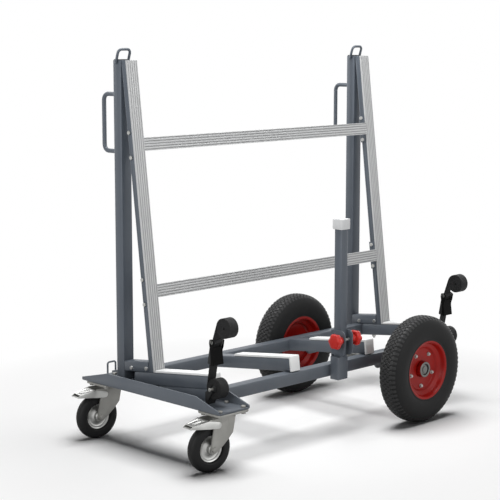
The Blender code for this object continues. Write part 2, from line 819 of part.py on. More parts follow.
def castor_axle_bolt():
    """The wheel's bolt, laid along the fork's width."""
    reach = castor_leg_inside + castor_leg_thickness - gap
    bolt = fastener(castor_axle, castor_axle_head, castor_bolt_height, castor_nut_height, 2 * reach)
    bolt.transform(Matrix.Rotation(pi / 2, 4, "X"))
    return moved(bolt, (-castor_trail, -reach, castor_wheel_radius))


def arc_points(middle, radius, first, last, steps):
    """Points along an arc, between two angles in degrees."""
    angles = [radians(first + (last - first) * step / steps) for step in range(steps + 1)]
    return [(middle[0] + radius * cos(angle), middle[1] + radius * sin(angle)) for angle in angles]


def both_sides(inner, outer):
    """Start and end of a pair of like plates, one to each side of a middle plane."""
    return ((-outer, -inner), (inner, outer))


def leg_outline():
    """A leg seen from the side: down the front edge, round the axle's eye and back along the arm."""
    top = crown_top - gap
    span = castor_trail + leg_front
    rise = crown_top - castor_wheel_radius
    edge = [(-castor_trail + along * span, castor_wheel_radius + up * rise) for along, up in leg_edge_shares]
    eye = arc_points((-castor_trail, castor_wheel_radius), leg_eye_radius, -60, -180, leg_eye_steps)
    return [(leg_front, top), *edge, *eye, (-leg_corner_back, leg_arm_bottom),
            (-leg_arm_back, leg_arm_bottom), (-leg_arm_back, top)]


def build_fork(name, turning):
    outside = castor_leg_inside + castor_leg_thickness
    middle = (castor_crown_front - castor_crown_back) / 2
    crown_length = castor_crown_front + castor_crown_back
    crown_outline = rectangle(crown_length, 2 * outside, castor_crown_round, (middle, 0))
    crown = add(name, extruded([crown_outline], crown_bottom, crown_top, "Z"), zinc, turning)
    for start, end in both_sides(castor_leg_inside, outside):
        boolean(crown, add_cutter("fork_leg", extruded([leg_outline()], start, end, "Y"), turning), "UNION")
    spindle_hole = rod(castor_spigot + running_gap, crown_bottom - overrun, crown_top + overrun, "Z",
                       castor_race_facets)
    boolean(crown, add_cutter("fork_spigot_hole", spindle_hole, turning), "DIFFERENCE")
    wide = outside + overrun
    pin_hole = rod(pedal_pin + running_gap, -wide, wide, "Y", hole_sides)
    place = (-pedal_pivot_back, 0, pedal_pivot_height)
    boolean(crown, add_cutter("fork_pedal_hole", pin_hole, turning, place), "DIFFERENCE")
    boolean(crown, add_cutter("fork_axle_bolt", castor_axle_bolt(), turning), "UNION")


def build_castor_wheel(side, turning):
    centre = (-castor_trail, 0, castor_wheel_radius)
    core = castor_wheel_radius - castor_tread_depth
    half = castor_wheel_width / 2
    tyre = [(core + out * castor_tread_depth, across * half) for out, across in castor_tyre_shares]
    tyre += [(radius, -across) for radius, across in reversed(tyre)]
    flat = (pi / 2, 0, 0)
    revolved(f"castor_{side}_tyre", tyre, castor_facets, black_rubber, turning, centre, flat)
    seat = core - gap
    bore = castor_axle + 2 * gap
    hub = castor_hub_radius
    hub_half = castor_leg_inside - running_gap
    lip = half - castor_lip_inset
    face = [(hub, hub_half), (hub, castor_web_half + castor_web_swell),
            (seat - castor_lip_root, castor_web_half),
            (seat - castor_lip_width, lip - castor_web_half / 4), (seat, lip)]
    rim = face + [(radius, -across) for radius, across in reversed(face)]
    rim += [(bore, -hub_half), (bore, hub_half)]
    revolved(f"castor_{side}_wheel_core", rim, castor_facets, zinc, turning, centre, flat)


def drawn_in(mesh, fold, end, share):
    """Turn the sides of a piece in, from a fold line across it to its far end."""
    bm = bmesh.new()
    bm.from_mesh(mesh)
    whole = bm.verts[:] + bm.edges[:] + bm.faces[:]
    bmesh.ops.bisect_plane(bm, geom=whole, plane_co=(fold, 0, 0), plane_no=(1, 0, 0), dist=weld_distance)
    for vertex in bm.verts:
        if vertex.co.x < fold:
            vertex.co.y *= 1 - share * (fold - vertex.co.x) / (fold - end)
    bm.to_mesh(mesh)
    bm.free()
    return mesh


def pedal_place(back, height):
    """A point of the pedal, counted from its pivot."""
    return (pedal_pivot_back - back, height - pedal_pivot_height)


def build_pedal(name, hinge):
    """Two arms outside the legs, a web and a lower lip between them, and stub pins into the legs."""
    arm_inside = castor_leg_inside + castor_leg_thickness + pedal_arm_gap
    arm_outside = arm_inside + pedal_thickness
    shoulder = pedal_place(pedal_shoulder_back, pedal_shoulder_height)
    end = pedal_place(pedal_end_back, pedal_end_height)
    tip = pedal_place(pedal_tip_back, pedal_tip_height)
    heel = pedal_place(pedal_heel_back, pedal_heel_height)
    tip_top = (tip[0], tip[1] + pedal_thickness)
    boss = arc_points((0, 0), pedal_boss_radius, -100, 80, pedal_boss_steps)
    arm = [*boss, shoulder, end, tip_top, tip, heel]
    web = [(along, up - sunk) for sunk, edge in ((gap, (shoulder, end)), (pedal_thickness, (end, shoulder)))
           for along, up in edge]
    far = tip[0] + gap
    lip = [(heel[0], heel[1] + pedal_thickness), (far, tip_top[1] - gap),
           (far, tip[1] + gap), (heel[0], heel[1] + gap)]
    half = arm_outside - gap
    plate = add_cutter("pedal_web", extruded([web], -half, half, "Y"), None)
    boolean(plate, add_cutter("pedal_lip", extruded([lip], -half, half, "Y"), None), "UNION")
    for start, stop in both_sides(arm_inside, arm_outside):
        boolean(plate, add_cutter("pedal_arm", extruded([arm], start, stop, "Y"), None), "UNION")
    for start, stop in both_sides(castor_leg_inside, arm_outside - gap):
        pin = rod(pedal_pin, start, stop, "Y", hole_sides)
        boolean(plate, add_cutter("pedal_pin", pin, None), "UNION")
    add(name, drawn_in(settled(plate), shoulder[0] - pedal_thickness, tip[0], pedal_draw_share), zinc, hinge)


def build_castors():
    for side, depth in castor_depths.items():
        swivel = empty(f"castor_{side}_swivel", root, (channel_middle, depth, 0))
        build_castor_plate(f"castor_{side}_plate", swivel)
        turning = empty(f"castor_{side}_turn", swivel, (0, 0, 0), (0, 0, castor_rest_turn))
        build_fork(f"castor_{side}_fork", turning)
        build_castor_wheel(side, turning)
        hinge = empty(f"castor_{side}_pedal_hinge", turning, (-pedal_pivot_back, 0, pedal_pivot_height))
        build_pedal(f"castor_{side}_brake_pedal", hinge)
        for across, along in castor_hole_places():
            hole = rod(castor_hole, chassis_underside - overrun, web_top + overrun, "Z", hole_sides)
            hole = add_cutter("channel_hole", hole, root, (channel_middle + across, depth + along, 0))
            boolean(end_channel, hole, "DIFFERENCE")


build_castors()

# Big wheels: pneumatic tyre, pressed steel rim, hub with its bearings and five studs
wheel_facets = 26               # the same on tyre and rim, so that they nest
hub_facets = 20
rim_radius = 0.104
rim_flare = 0.008
rim_half_width = 0.036
rim_sheet = 0.004
rim_well_radius = 0.088
rim_shares = (0.45, 0.25, 0.3)  # of its half width: top, bottom and back of the well's side
disc_offset = 0.006             # disc's middle, outboard of the wheel's middle
disc_flat_radius = 0.0745
disc_rise = 0.010               # how far its edge bends outboard to meet the well
disc_bend = 0.004
hub_flange_radius = 0.072
hub_flange = 0.006
hub_radius = 0.0285
hub_outboard = 0.028            # wheel's middle to the hub's outer end
hub_inboard = 0.050
hub_chamfer = 0.002
hub_recess_radius = 0.0205
hub_recess_depth = 0.009
axle_radius = 0.0125
bore_radius = axle_radius + running_gap / 2
stud_count = 5
stud_turn_share = 0.722         # of the pitch, for the first stud
stud_circle = 0.0633
stud_shank = 0.005
stud_head = 0.015
stud_height = 0.010
tyre_wall = 0.010
tyre_crown = 0.013              # how thick it is under the tread
tyre_bulge_share = 0.45         # of its height, where it is widest inside
tyre_side_shares = ((0.28, 0.95), (0.60, 1.0), (0.88, 0.84), (1.0, 0.42))


def tyre_section():
    """A C-shaped tyre section, bead to bead, with its air space open to the rim."""
    half = wheel_width / 2
    seat = rim_radius + gap
    bead = rim_half_width - gap
    height = wheel_radius - seat
    outer = [(seat, bead), *((seat + out * height, across * half) for out, across in tyre_side_shares)]
    outer += [(radius, -across) for radius, across in reversed(outer)]
    bulge = seat + height * tyre_bulge_share
    inner = [(seat, -bead + tyre_wall), (bulge, -half + tyre_wall), (wheel_radius - tyre_crown, 0),
             (bulge, half - tyre_wall), (seat, bead - tyre_wall)]
    return outer + inner


def rim_section():
    """Lip, bead seats and well, with the disc that meets the hub flange."""
    well = rim_well_radius
    seat = rim_radius
    half = rim_half_width + rim_sheet
    disc_face = disc_offset + rim_sheet / 2
    disc_back = disc_offset - rim_sheet / 2
    outer = [(seat + rim_flare, half), (seat, rim_half_width), (seat, rim_half_width * rim_shares[0]),
             (well, rim_half_width * rim_shares[1]), (well, -rim_half_width * rim_shares[1]),
             (seat, -rim_half_width * rim_shares[0]),
             (seat, -rim_half_width), (seat + rim_flare, -half)]
    inner_back = [(seat - rim_sheet, -half), (seat - rim_sheet, -rim_half_width / 2),
                  (well - rim_sheet, -rim_half_width * rim_shares[2]), (well - rim_sheet, disc_back - disc_bend)]
    bore = hub_radius + 2 * gap
    disc = [(disc_flat_radius + disc_bend, disc_back), (bore, disc_back), (bore, disc_face),
            (disc_flat_radius, disc_face), (well - rim_sheet, disc_face + disc_rise)]
    inner_front = [(seat - rim_sheet, (rim_half_width + disc_rise) / 2), (seat - rim_sheet, half)]
    return outer + inner_back + disc + inner_front


def build_big_wheel(side, spin):
    half = wheel_width / 2
    name = f"wheel_{side}"
    revolved(f"{name}_tyre", tyre_section(), wheel_facets, black_rubber, spin)
    rim = revolved(f"{name}_rim", rim_section(), wheel_facets, red_paint, spin)
    disc_face = disc_offset + rim_sheet / 2
    flange_face = disc_offset - rim_sheet / 2 - gap
    hub_profile = [(hub_radius - hub_chamfer, hub_outboard), (hub_radius, hub_outboard - hub_chamfer),
                   (hub_radius, flange_face), (hub_flange_radius, flange_face),
                   (hub_flange_radius, flange_face - hub_flange), (hub_radius, flange_face - hub_flange),
                   (hub_radius, -hub_inboard), (bore_radius, -hub_inboard),
                   (bore_radius, hub_outboard - hub_recess_depth),
                   (hub_recess_radius, hub_outboard - hub_recess_depth), (hub_recess_radius, hub_outboard)]
    hub = revolved(f"{name}_hub", hub_profile, hub_facets, zinc, spin)
    grip = rim_sheet + hub_flange + 3 * gap
    stud = fastener(stud_shank, stud_head, stud_height, 0, grip + stud_height / 2)
    hole = rod(stud_shank + 2 * gap, -half, half, "Z", hole_sides)
    for index in range(stud_count):
        angle = 2 * pi * (index + stud_turn_share) / stud_count
        x, y = stud_circle * cos(angle), stud_circle * sin(angle)
        boolean(rim, add_cutter("stud_hole", hole, spin, (x, y, 0)), "DIFFERENCE")
        boolean(hub, add_cutter("stud", stud, spin, (x, y, disc_face + gap)), "UNION")


wheel_hang = {"front": (0, pi / 2), "back": (wheel_track, -pi / 2)}
for side, (depth, turn) in wheel_hang.items():
    spin = empty(f"wheel_{side}_spin", root, (0, depth, wheel_radius), (turn, 0, 0))
    build_big_wheel(side, spin)

# Axle with its retaining rings and spacers, the plates that hold it, and the upright's shoe
axle_past_ring = 0.003          # how far it stands out past the ring
ring_radius = 0.0175
ring_thickness = 0.004
spacer_wall = 0.005
bracket_plate = 0.008
bracket_half_width = 0.045
bracket_below = 0.026
axle_hole_gap = 0.0004
bracket_round = 0.008


def build_axle():
    ring_start = hub_outboard - hub_recess_depth + gap
    ring_end = ring_start + ring_thickness
    start = -ring_end - axle_past_ring
    axle = add("axle", rod(axle_radius, start, wheel_track - start, "Y", hub_facets), zinc, root,
               (0, 0, wheel_radius))
    for low in (-ring_end, wheel_track + ring_start):
        ring = rod(ring_radius, low, low + ring_thickness, "Y", hub_facets)
        boolean(axle, add_cutter("axle_ring", ring, root, (0, 0, wheel_radius)), "UNION")
    inner = hub_inboard + gap
    runs = ((inner, front_beam_inset - gap), (rear_beam_back + gap, wheel_track - inner))
    for start, end in runs:
        spacer = rod(axle_radius + spacer_wall, start, end, "Y", hub_facets)
        boolean(axle, add_cutter("axle_spacer", spacer, root, (0, 0, wheel_radius)), "UNION")
    plate_top = beam_top - tube_corner
    outline = rounded(
        [(-bracket_half_width, plate_top), (-bracket_half_width, chassis_underside),
         (-bracket_half_width / 2, wheel_radius - bracket_below),
         (bracket_half_width / 2, wheel_radius - bracket_below),
         (bracket_half_width, chassis_underside), (bracket_half_width, plate_top)],
        [0, 0, bracket_round, bracket_round, 0, 0])
    bracket_starts = ((front_beam, front_beam_back - weld_bite),
                      (rear_beam, rear_beam_front + weld_bite - bracket_plate))
    for beam, start in bracket_starts:
        plate = extruded([outline], start, start + bracket_plate, "Y")
        boolean(beam, add_cutter("axle_bracket", plate, root), "UNION")
        hole = rod(axle_radius + axle_hole_gap, -overrun, wheel_track + overrun, "Y", hub_facets)
        boolean(beam, add_cutter("axle_hole", hole, root, (0, 0, wheel_radius)), "DIFFERENCE")
    depth = upright_setback - gap + weld_bite
    shoe = tube(depth, beam_height, right_rack - upright_width / 2, right_rack + upright_width / 2, "X",
                middle=(upright_front - gap - depth / 2, beam_middle_height))
    boolean(rear_beam, add_cutter("upright_shoe", shoe, root), "UNION")


build_axle()

# Front post: a square stake in a sleeve, clamped by two star knobs
post_place = -0.300             # from the axle
post_size = 0.035
post_top = 0.733
post_bottom = 0.193
post_cap_size = 0.047
post_cap_height = 0.038
sleeve_width = 0.053
sleeve_wall = 0.0025
sleeve_bottom = 0.191
sleeve_top = 0.2735
guide_gap = 0.0005              # between the post and what it slides in
clamp_plate = 0.004
clamp_bottom = 0.279
clamp_top = 0.370
clamp_reach = 0.024             # how far the clamp stands out past the post
clamp_round = 0.018
clamp_round_steps = 4
clamp_screw_height = 0.336
clamp_screw_radius = 0.005
clamp_screw_forward = 0.0065    # the screw's middle, out from the post's face
screw_facets = 12
knob_radius = 0.027
knob_wave = 0.0028
knob_lobes = 6
knob_points = 6                 # to a lobe
knob_thickness = 0.022
knob_boss_radius = 0.013
knob_boss_length = 0.020
knob_boss_facets = 16


def build_front_post():
    sleeve_depth = post_size + 2 * (guide_gap + sleeve_wall)
    sleeve_middle = front_beam_inset - gap - sleeve_depth / 2
    sleeve_right = post_place + post_size / 2 + guide_gap + sleeve_wall
    sleeve_place = sleeve_right - sleeve_width / 2
    slide = empty("front_post_slide", root, (post_place, sleeve_middle, 0))
    add("front_post", tube(post_size, post_size, post_bottom, post_top, "Z"), slate_paint, slide)
    bore = post_size + 2 * guide_gap
    pocket = sleeve_width - 3 * sleeve_wall - bore
    pocket_middle = sleeve_right - sleeve_width + sleeve_wall + pocket / 2
    outlines = [rectangle(sleeve_width, sleeve_depth, tube_corner, (sleeve_place, sleeve_middle)),
                rectangle(bore, bore, 0, (post_place, sleeve_middle)),
                rectangle(pocket, bore, 0, (pocket_middle, sleeve_middle))]
    add("post_sleeve", extruded(outlines, sleeve_bottom, sleeve_top, "Z"), slate_paint, root)
    outline = rectangle(post_cap_size, post_cap_size, tube_corner)
    cap = extruded([outline], post_top + gap, post_top + post_cap_height, "Z")
    cap = add("front_post_cap", cap, pale_pad, slide)
    stem_size = post_size - 2 * (tube_wall + plug_ease)
    stem = extruded([rectangle(stem_size, stem_size, 0)],
                    post_top - plug_depth, post_top + post_cap_height / 2, "Z")
    boolean(cap, add_cutter("post_cap_stem", stem, slide), "UNION")
    build_clamp(sleeve_middle)


def build_clamp(post_middle):
    """A U-shaped clamp round the post, with its screw in front of the post."""
    cheek = post_size / 2 + guide_gap
    back = front_beam_inset + clamp_plate
    front = post_middle - post_size / 2 - clamp_reach
    outline = rounded([(back, clamp_top), (front, clamp_top), (front, clamp_bottom), (back, clamp_bottom)],
                      [0, clamp_round, clamp_round, 0], clamp_round_steps)
    foot_bottom = beam_top + gap
    foot = box((2 * (cheek + clamp_plate), clamp_plate, clamp_top - foot_bottom),
               (post_place, back - clamp_plate / 2, (clamp_top + foot_bottom) / 2))
    clamp = add("post_clamp", foot, slate_paint, root)
    screw_place = (post_place, post_middle - post_size / 2 - clamp_screw_forward, clamp_screw_height)
    for start, end in both_sides(cheek, cheek + clamp_plate):
        plate = extruded([outline], post_place + start, post_place + end, "X")
        boolean(clamp, add_cutter("clamp_cheek", plate, root), "UNION")
    hole = rod(clamp_screw_radius + gap, -sleeve_width, sleeve_width, "X", screw_facets)
    boolean(clamp, add_cutter("clamp_hole", hole, root, screw_place), "DIFFERENCE")
    knob_start = cheek + clamp_plate + gap
    screw_end = knob_start + knob_boss_length + knob_thickness / 2
    screw = rod(clamp_screw_radius, -screw_end, screw_end, "X", screw_facets)
    add("clamp_screw", screw, zinc, root, screw_place)
    for side, facing in (("left", -1), ("right", 1)):
        place = (post_place + facing * knob_start, screw_place[1], clamp_screw_height)
        build_knob(side, empty(f"knob_{side}_spin", root, place, (0, facing * pi / 2, 0)))


def build_knob(side, spin):
    """A lobed grip on a round boss, blind-bored for the screw."""
    star = []
    points = knob_lobes * knob_points
    for step in range(points):
        angle = 2 * pi * step / points
        reach = knob_radius + knob_wave * cos(knob_lobes * angle)
        star.append((reach * cos(angle), reach * sin(angle)))
    grip = extruded([star], knob_boss_length, knob_boss_length + knob_thickness, "Z")
    knob = add(f"star_knob_{side}", grip, red_plastic, spin)
    boss = rod(knob_boss_radius, 0, knob_boss_length + knob_thickness / 3, "Z", knob_boss_facets)
    boolean(knob, add_cutter("knob_boss", boss, spin), "UNION")
    bore_end = knob_boss_length + knob_thickness / 2 + running_gap
    bore = rod(clamp_screw_radius + gap, -overrun, bore_end, "Z", screw_facets)
    boolean(knob, add_cutter("knob_bore", bore, spin), "DIFFERENCE")


build_front_post()

# Strap units: a roll of webbing in a cradle, a riser through a ratchet, and the rolled-up tail
strap_width = 0.036
strap_thickness = 0.0030
strap_layer_gap = 0.0007
riser_steps = 3
strap_steps = 16                # points to a loop
strap_offsets = {"left": -0.034, "right": -0.025}       # from the rack's middle
lower_roll_forward = 0.039      # in front of the front beam's face
lower_roll_rise = 0.0205        # above the beam's top
lower_roll_radius = 0.0362
upper_roll_forward = 0.0845
upper_roll_rise = 0.2280
upper_roll_radius = 0.0353
roll_core_radius = 0.0115
strap_lean = radians(10.3)
riser_length = 0.152            # from the lower roll to the ratchet's spindle
lower_roll_depth = front_beam_inset - lower_roll_forward
lower_roll_height = beam_top + lower_roll_rise
upper_roll_depth = front_beam_inset - upper_roll_forward
upper_roll_height = beam_top + upper_roll_rise

# Cradle: a back plate on the front beam's face, with two ears that reach out to the roll's pin
cradle_plate = 0.003
cradle_side_gap = 0.001
cradle_boss = 0.0085            # the ears' radius round the pin
cradle_boss_steps = 6
cradle_rise = 0.004             # how far the ears stand above the beam
cradle_pin = 0.004
drum_facets = 12

# Ratchet: cheeks, split spindle and bottom bar, with a channel-shaped lever hung on the spindle
ratchet_plate = 0.002
ratchet_length = 0.085
ratchet_above = 0.008           # of the spindle's middle
ratchet_front = 0.0105          # in front of the strap, at the spindle
ratchet_back = 0.008
ratchet_waist = 0.0055          # the cheeks' front edge below the spindle
ratchet_waist_top = 0.018
ratchet_corner = 0.004
spindle_radius = 0.0075
spindle_steps = 6
spindle_proud = 0.001
ratchet_bar_radius = 0.0035
ratchet_bar_forward = 0.0085
ratchet_bar_rise = 0.010
bar_facets = 10
lever_gap = 0.0006
lever_eye = 0.0105              # round the spindle
lever_eye_share = 0.6           # how far up its straight sides reach
lever_front = 0.0130
lever_shoulder = 0.0160         # below the spindle, where the web starts
lever_waist = 0.0095            # the web's front face, at its narrowest
lever_waist_drop = 0.032
lever_flare = 0.0240            # the web's front face, at the tail
lever_tail_depth = 0.013        # front to back of an arm's end
lever_corner = 0.003
lever_curve = 0.030
lever_tail_gap = 0.001
lever_hole_facets = 16


def winding(radius, turns, start_angle, direction):
    """Middle line of a wound strap, from its outer end inward."""
    pitch = strap_thickness + strap_layer_gap
    steps = int(round(turns * strap_steps))
    line = []
    for step in range(steps + 1):
        angle = 2 * pi * step / strap_steps
        reach = radius - strap_thickness / 2 - pitch * angle / (2 * pi)
        turn = start_angle + direction * angle
        line.append(Vector((reach * cos(turn), reach * sin(turn))))
    return line


def band_outline(line):
    """Both edges of a strap whose middle line is given."""
    left, right = [], []
    for index, here in enumerate(line):
        before = line[max(index - 1, 0)]
        after = line[min(index + 1, len(line) - 1)]
        run = (after - before).normalized()
        aside = Vector((-run.y, run.x)) * (strap_thickness / 2)
        left.append(tuple(here + aside))
        right.append(tuple(here - aside))
    return left + right[::-1]


def least_gap(line):
    """Least clear space between one loop of a strap and the next, measured on points."""
    least = strap_width
    for index in range(len(line)):
        for other in range(index + strap_steps // 2, len(line) - 1):
            first, second = line[other], line[other + 1]
            run = second - first
            share = max(0.0, min(1.0, (line[index] - first).dot(run) / run.length_squared))
            least = min(least, (first + run * share - line[index]).length - strap_thickness)
    return least


def roll_turns(radius):
    return (radius - roll_core_radius - strap_thickness) / (strap_thickness + strap_layer_gap)


def strap_place(along):
    """Depth and height of a point on the riser, counted from the lower roll's tangent."""
    start = Vector((lower_roll_depth, lower_roll_height))
    reach = lower_roll_radius - strap_thickness / 2
    tangent = start + Vector((cos(strap_lean), sin(strap_lean))) * reach
    return tangent + Vector((-sin(strap_lean), cos(strap_lean))) * along


def build_webbing(name, place):
    """One strap: lower roll, riser, through the split spindle, and the rolled tail."""
    lower_centre = Vector((lower_roll_depth, lower_roll_height))
    coil = [lower_centre + point
            for point in winding(lower_roll_radius, roll_turns(lower_roll_radius), strap_lean, -1)]
    through = riser_length + spindle_radius + strap_thickness
    riser = [strap_place(through * step / riser_steps) for step in range(1, riser_steps + 1)]
    upper_centre = Vector((upper_roll_depth, upper_roll_height))
    back_to_start = riser[-1] - upper_centre
    reach = upper_roll_radius - strap_thickness / 2
    swing = acos(reach / back_to_start.length)
    aim = Vector((1, 0)).angle(back_to_start) * (1 if back_to_start.y > 0 else -1) + swing
    tail = [upper_centre + point
            for point in winding(upper_roll_radius, roll_turns(upper_roll_radius), aim, 1)]
    gaps = [least_gap(line) for line in (coil, tail)]
    print(f"{name}: least gap between loops {min(gaps) * 1000:.2f} mm")
    line = coil[::-1] + riser + tail
    band = extruded([band_outline(line)], place - strap_width / 2, place + strap_width / 2, "X")
    add(name, band, webbing, root)


def build_cradle(name, place):
    """Back plate, two ears, the pin between them and the drum that the strap is wound on.
    The left one stands on the channel's web, and the right one lies on the front beam's face."""
    back = front_beam_inset - gap
    front = back - cradle_plate
    bottom = web_top + gap
    top = beam_top + cradle_rise
    inside = strap_width / 2 + cradle_side_gap
    outside = inside + cradle_plate
    plate_top = beam_top - tube_corner
    plate = add(name, box((2 * outside, cradle_plate, plate_top - bottom),
                          (place, (back + front) / 2, (bottom + plate_top) / 2)), black_steel, root)
    boss = arc_points((lower_roll_depth, lower_roll_height), cradle_boss, 75, 285, cradle_boss_steps)
    ear = [*boss, (back, bottom), (back, top)]
    for start, end in both_sides(inside, outside):
        side_plate = extruded([ear], place + start, place + end, "X")
        boolean(plate, add_cutter("cradle_ear", side_plate, root), "UNION")
    pin = rod(cradle_pin, -outside - cradle_plate, outside + cradle_plate, "X", bar_facets)
    centre = (place, lower_roll_depth, lower_roll_height)
    boolean(plate, add_cutter("cradle_pin", pin, root, centre), "UNION")
    drum = rod(roll_core_radius - running_gap, -inside - gap, inside + gap, "X", drum_facets)
    boolean(plate, add_cutter("cradle_drum", drum, root, centre), "UNION")


def build_ratchet(side, place):
    """Frame cheeks on a bottom bar, a split spindle, and the lever that turns about it."""
    origin = strap_place(riser_length)
    frame = empty(f"ratchet_{side}_axis", root, (place, origin.x, origin.y), (strap_lean, 0, 0))
    bottom = ratchet_above - ratchet_length
    inside = strap_width / 2 + running_gap
    outside = inside + ratchet_plate
    cheek = rounded(
        [(ratchet_back, ratchet_above), (-ratchet_front, ratchet_above), (-ratchet_front, -ratchet_above),
         (-ratchet_waist, -ratchet_waist_top), (-ratchet_waist, bottom), (ratchet_back, bottom)],
        [ratchet_corner, ratchet_corner, 0, 0, 0, ratchet_corner])
    bar = rod(ratchet_bar_radius, -outside + gap, outside - gap, "X", bar_facets)
    body = add(f"ratchet_{side}_frame", moved(bar, (0, -ratchet_bar_forward, bottom + ratchet_bar_rise)),
               black_steel, frame)
    tab_front = -ratchet_waist - ratchet_bar_forward
    tab_top = bottom + 2 * ratchet_bar_rise
    tab = rounded([(tab_front, tab_top), (0, tab_top), (0, bottom + gap), (tab_front, bottom + gap)],
                  [ratchet_corner, 0, 0, ratchet_corner])
    for start, end in both_sides(inside, outside):
        boolean(body, add_cutter("ratchet_cheek", extruded([cheek], start, end, "X"), frame), "UNION")
    for start, end in both_sides(inside + gap, outside - gap):
        boolean(body, add_cutter("ratchet_tab", extruded([tab], start, end, "X"), frame), "UNION")
    slot_half = strap_thickness / 2 + running_gap
    reach = outside + lever_gap + ratchet_plate + spindle_proud
    first = degrees(asin(slot_half / spindle_radius))
    for facing in (-1, 1):
        arc = arc_points((0, 0), spindle_radius, first - 90, 90 - first, spindle_steps)
        half_round = extruded([[(facing * along, up) for along, up in arc]], -reach, reach, "X")
        boolean(body, add_cutter("spindle_half", half_round, frame), "UNION")
    build_lever(side, frame, outside, bottom)


def build_lever(side, frame, inside, bottom):
    """Two arms and a web, hung from the spindle outside the cheeks and flared at the tail."""
    start_x = inside + lever_gap
    end_x = start_x + ratchet_plate
    tail = bottom + lever_tail_gap
    arm = rounded(
        [(lever_eye, lever_eye * lever_eye_share), (0, lever_eye),
         (-lever_front, lever_eye * lever_eye_share), (-lever_front, -lever_shoulder),
         (-lever_waist, -lever_waist_drop), (-lever_flare, tail), (-lever_flare + lever_tail_depth, tail),
         (0, -lever_waist_drop), (lever_eye, -lever_eye * lever_eye_share)],
        [lever_corner, 0, lever_corner, 0, lever_curve, lever_corner, 0, lever_curve, lever_corner])
    slope = (lever_flare - lever_waist) / (-tail - lever_waist_drop)
    front = gap - lever_waist
    web = [(front, -lever_shoulder), (front, -lever_waist_drop),
           (gap - lever_flare + slope * ratchet_plate, tail + ratchet_plate)]
    web += [(across + ratchet_plate - gap, up) for across, up in reversed(web)]
    lever = add(f"ratchet_{side}_lever", extruded([web], gap - end_x, end_x - gap, "X"), black_steel, frame)
    for start, end in both_sides(start_x, end_x):
        boolean(lever, add_cutter("lever_arm", extruded([arm], start, end, "X"), frame), "UNION")
    hole = rod((spindle_radius + gap) / cos(pi / lever_hole_facets), -end_x - overrun, end_x + overrun, "X",
               lever_hole_facets)
    boolean(lever, add_cutter("lever_hole", hole, frame), "DIFFERENCE")


for side, rack in (("left", left_rack), ("right", right_rack)):
    strap_middle = rack + strap_offsets[side]
    build_cradle(f"strap_cradle_{side}", strap_middle)
    build_webbing(f"strap_webbing_{side}", strap_middle)
    build_ratchet(side, strap_middle)


# Every piece keeps its finished mesh, with its round faces shaded smooth
def finish_pieces():
    graph = bpy.context.evaluated_depsgraph_get()
    graph.update()
    pieces = [piece for piece in parts.objects if piece.type == "MESH"]
    meshes = [bpy.data.meshes.new_from_object(piece.evaluated_get(graph)) for piece in pieces]
    for piece, mesh in zip(pieces, meshes):
        finish = piece.data.materials[0]
        piece.modifiers.clear()
        piece.data = mesh
        mesh.materials.clear()
        mesh.materials.append(finish)
        mesh.shade_smooth()
        mesh.set_sharp_from_angle(angle=sharp_edge)
    for tool in list(cutters.objects):
        bpy.data.objects.remove(tool, do_unlink=True)
    return pieces


# The origin goes to the middle of the plan, on the floor
def plan_middle(pieces):
    corners = [piece.matrix_world @ vertex.co for piece in pieces for vertex in piece.data.vertices]
    lows = [min(corner[axis] for corner in corners) for axis in range(3)]
    highs = [max(corner[axis] for corner in corners) for axis in range(3)]
    return [(low + high) / 2 for low, high in zip(lows, highs)], lows, highs


middle, lows, highs = plan_middle(finish_pieces())
root.location = (-middle[0], -middle[1], 0)
bpy.context.view_layer.update()
print("plan shift", [round(value, 5) for value in root.location], "lowest", round(lows[2], 5))
print("size", [round(high - low, 4) for low, high in zip(lows, highs)])
for piece in parts.objects:
    if piece.type == "EMPTY":
        place = piece.matrix_world.translation
        axis_y = piece.matrix_world.to_3x3() @ Vector((0, 1, 0))
        numbers = [[round(value, 5) for value in vector] for vector in (place, axis_y)]
        print("frame", piece.name, *numbers)
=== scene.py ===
import json
import bpy
import bmesh
from math import acos, cos, hypot, pi, radians, sin
from mathutils import Matrix, Vector, noise

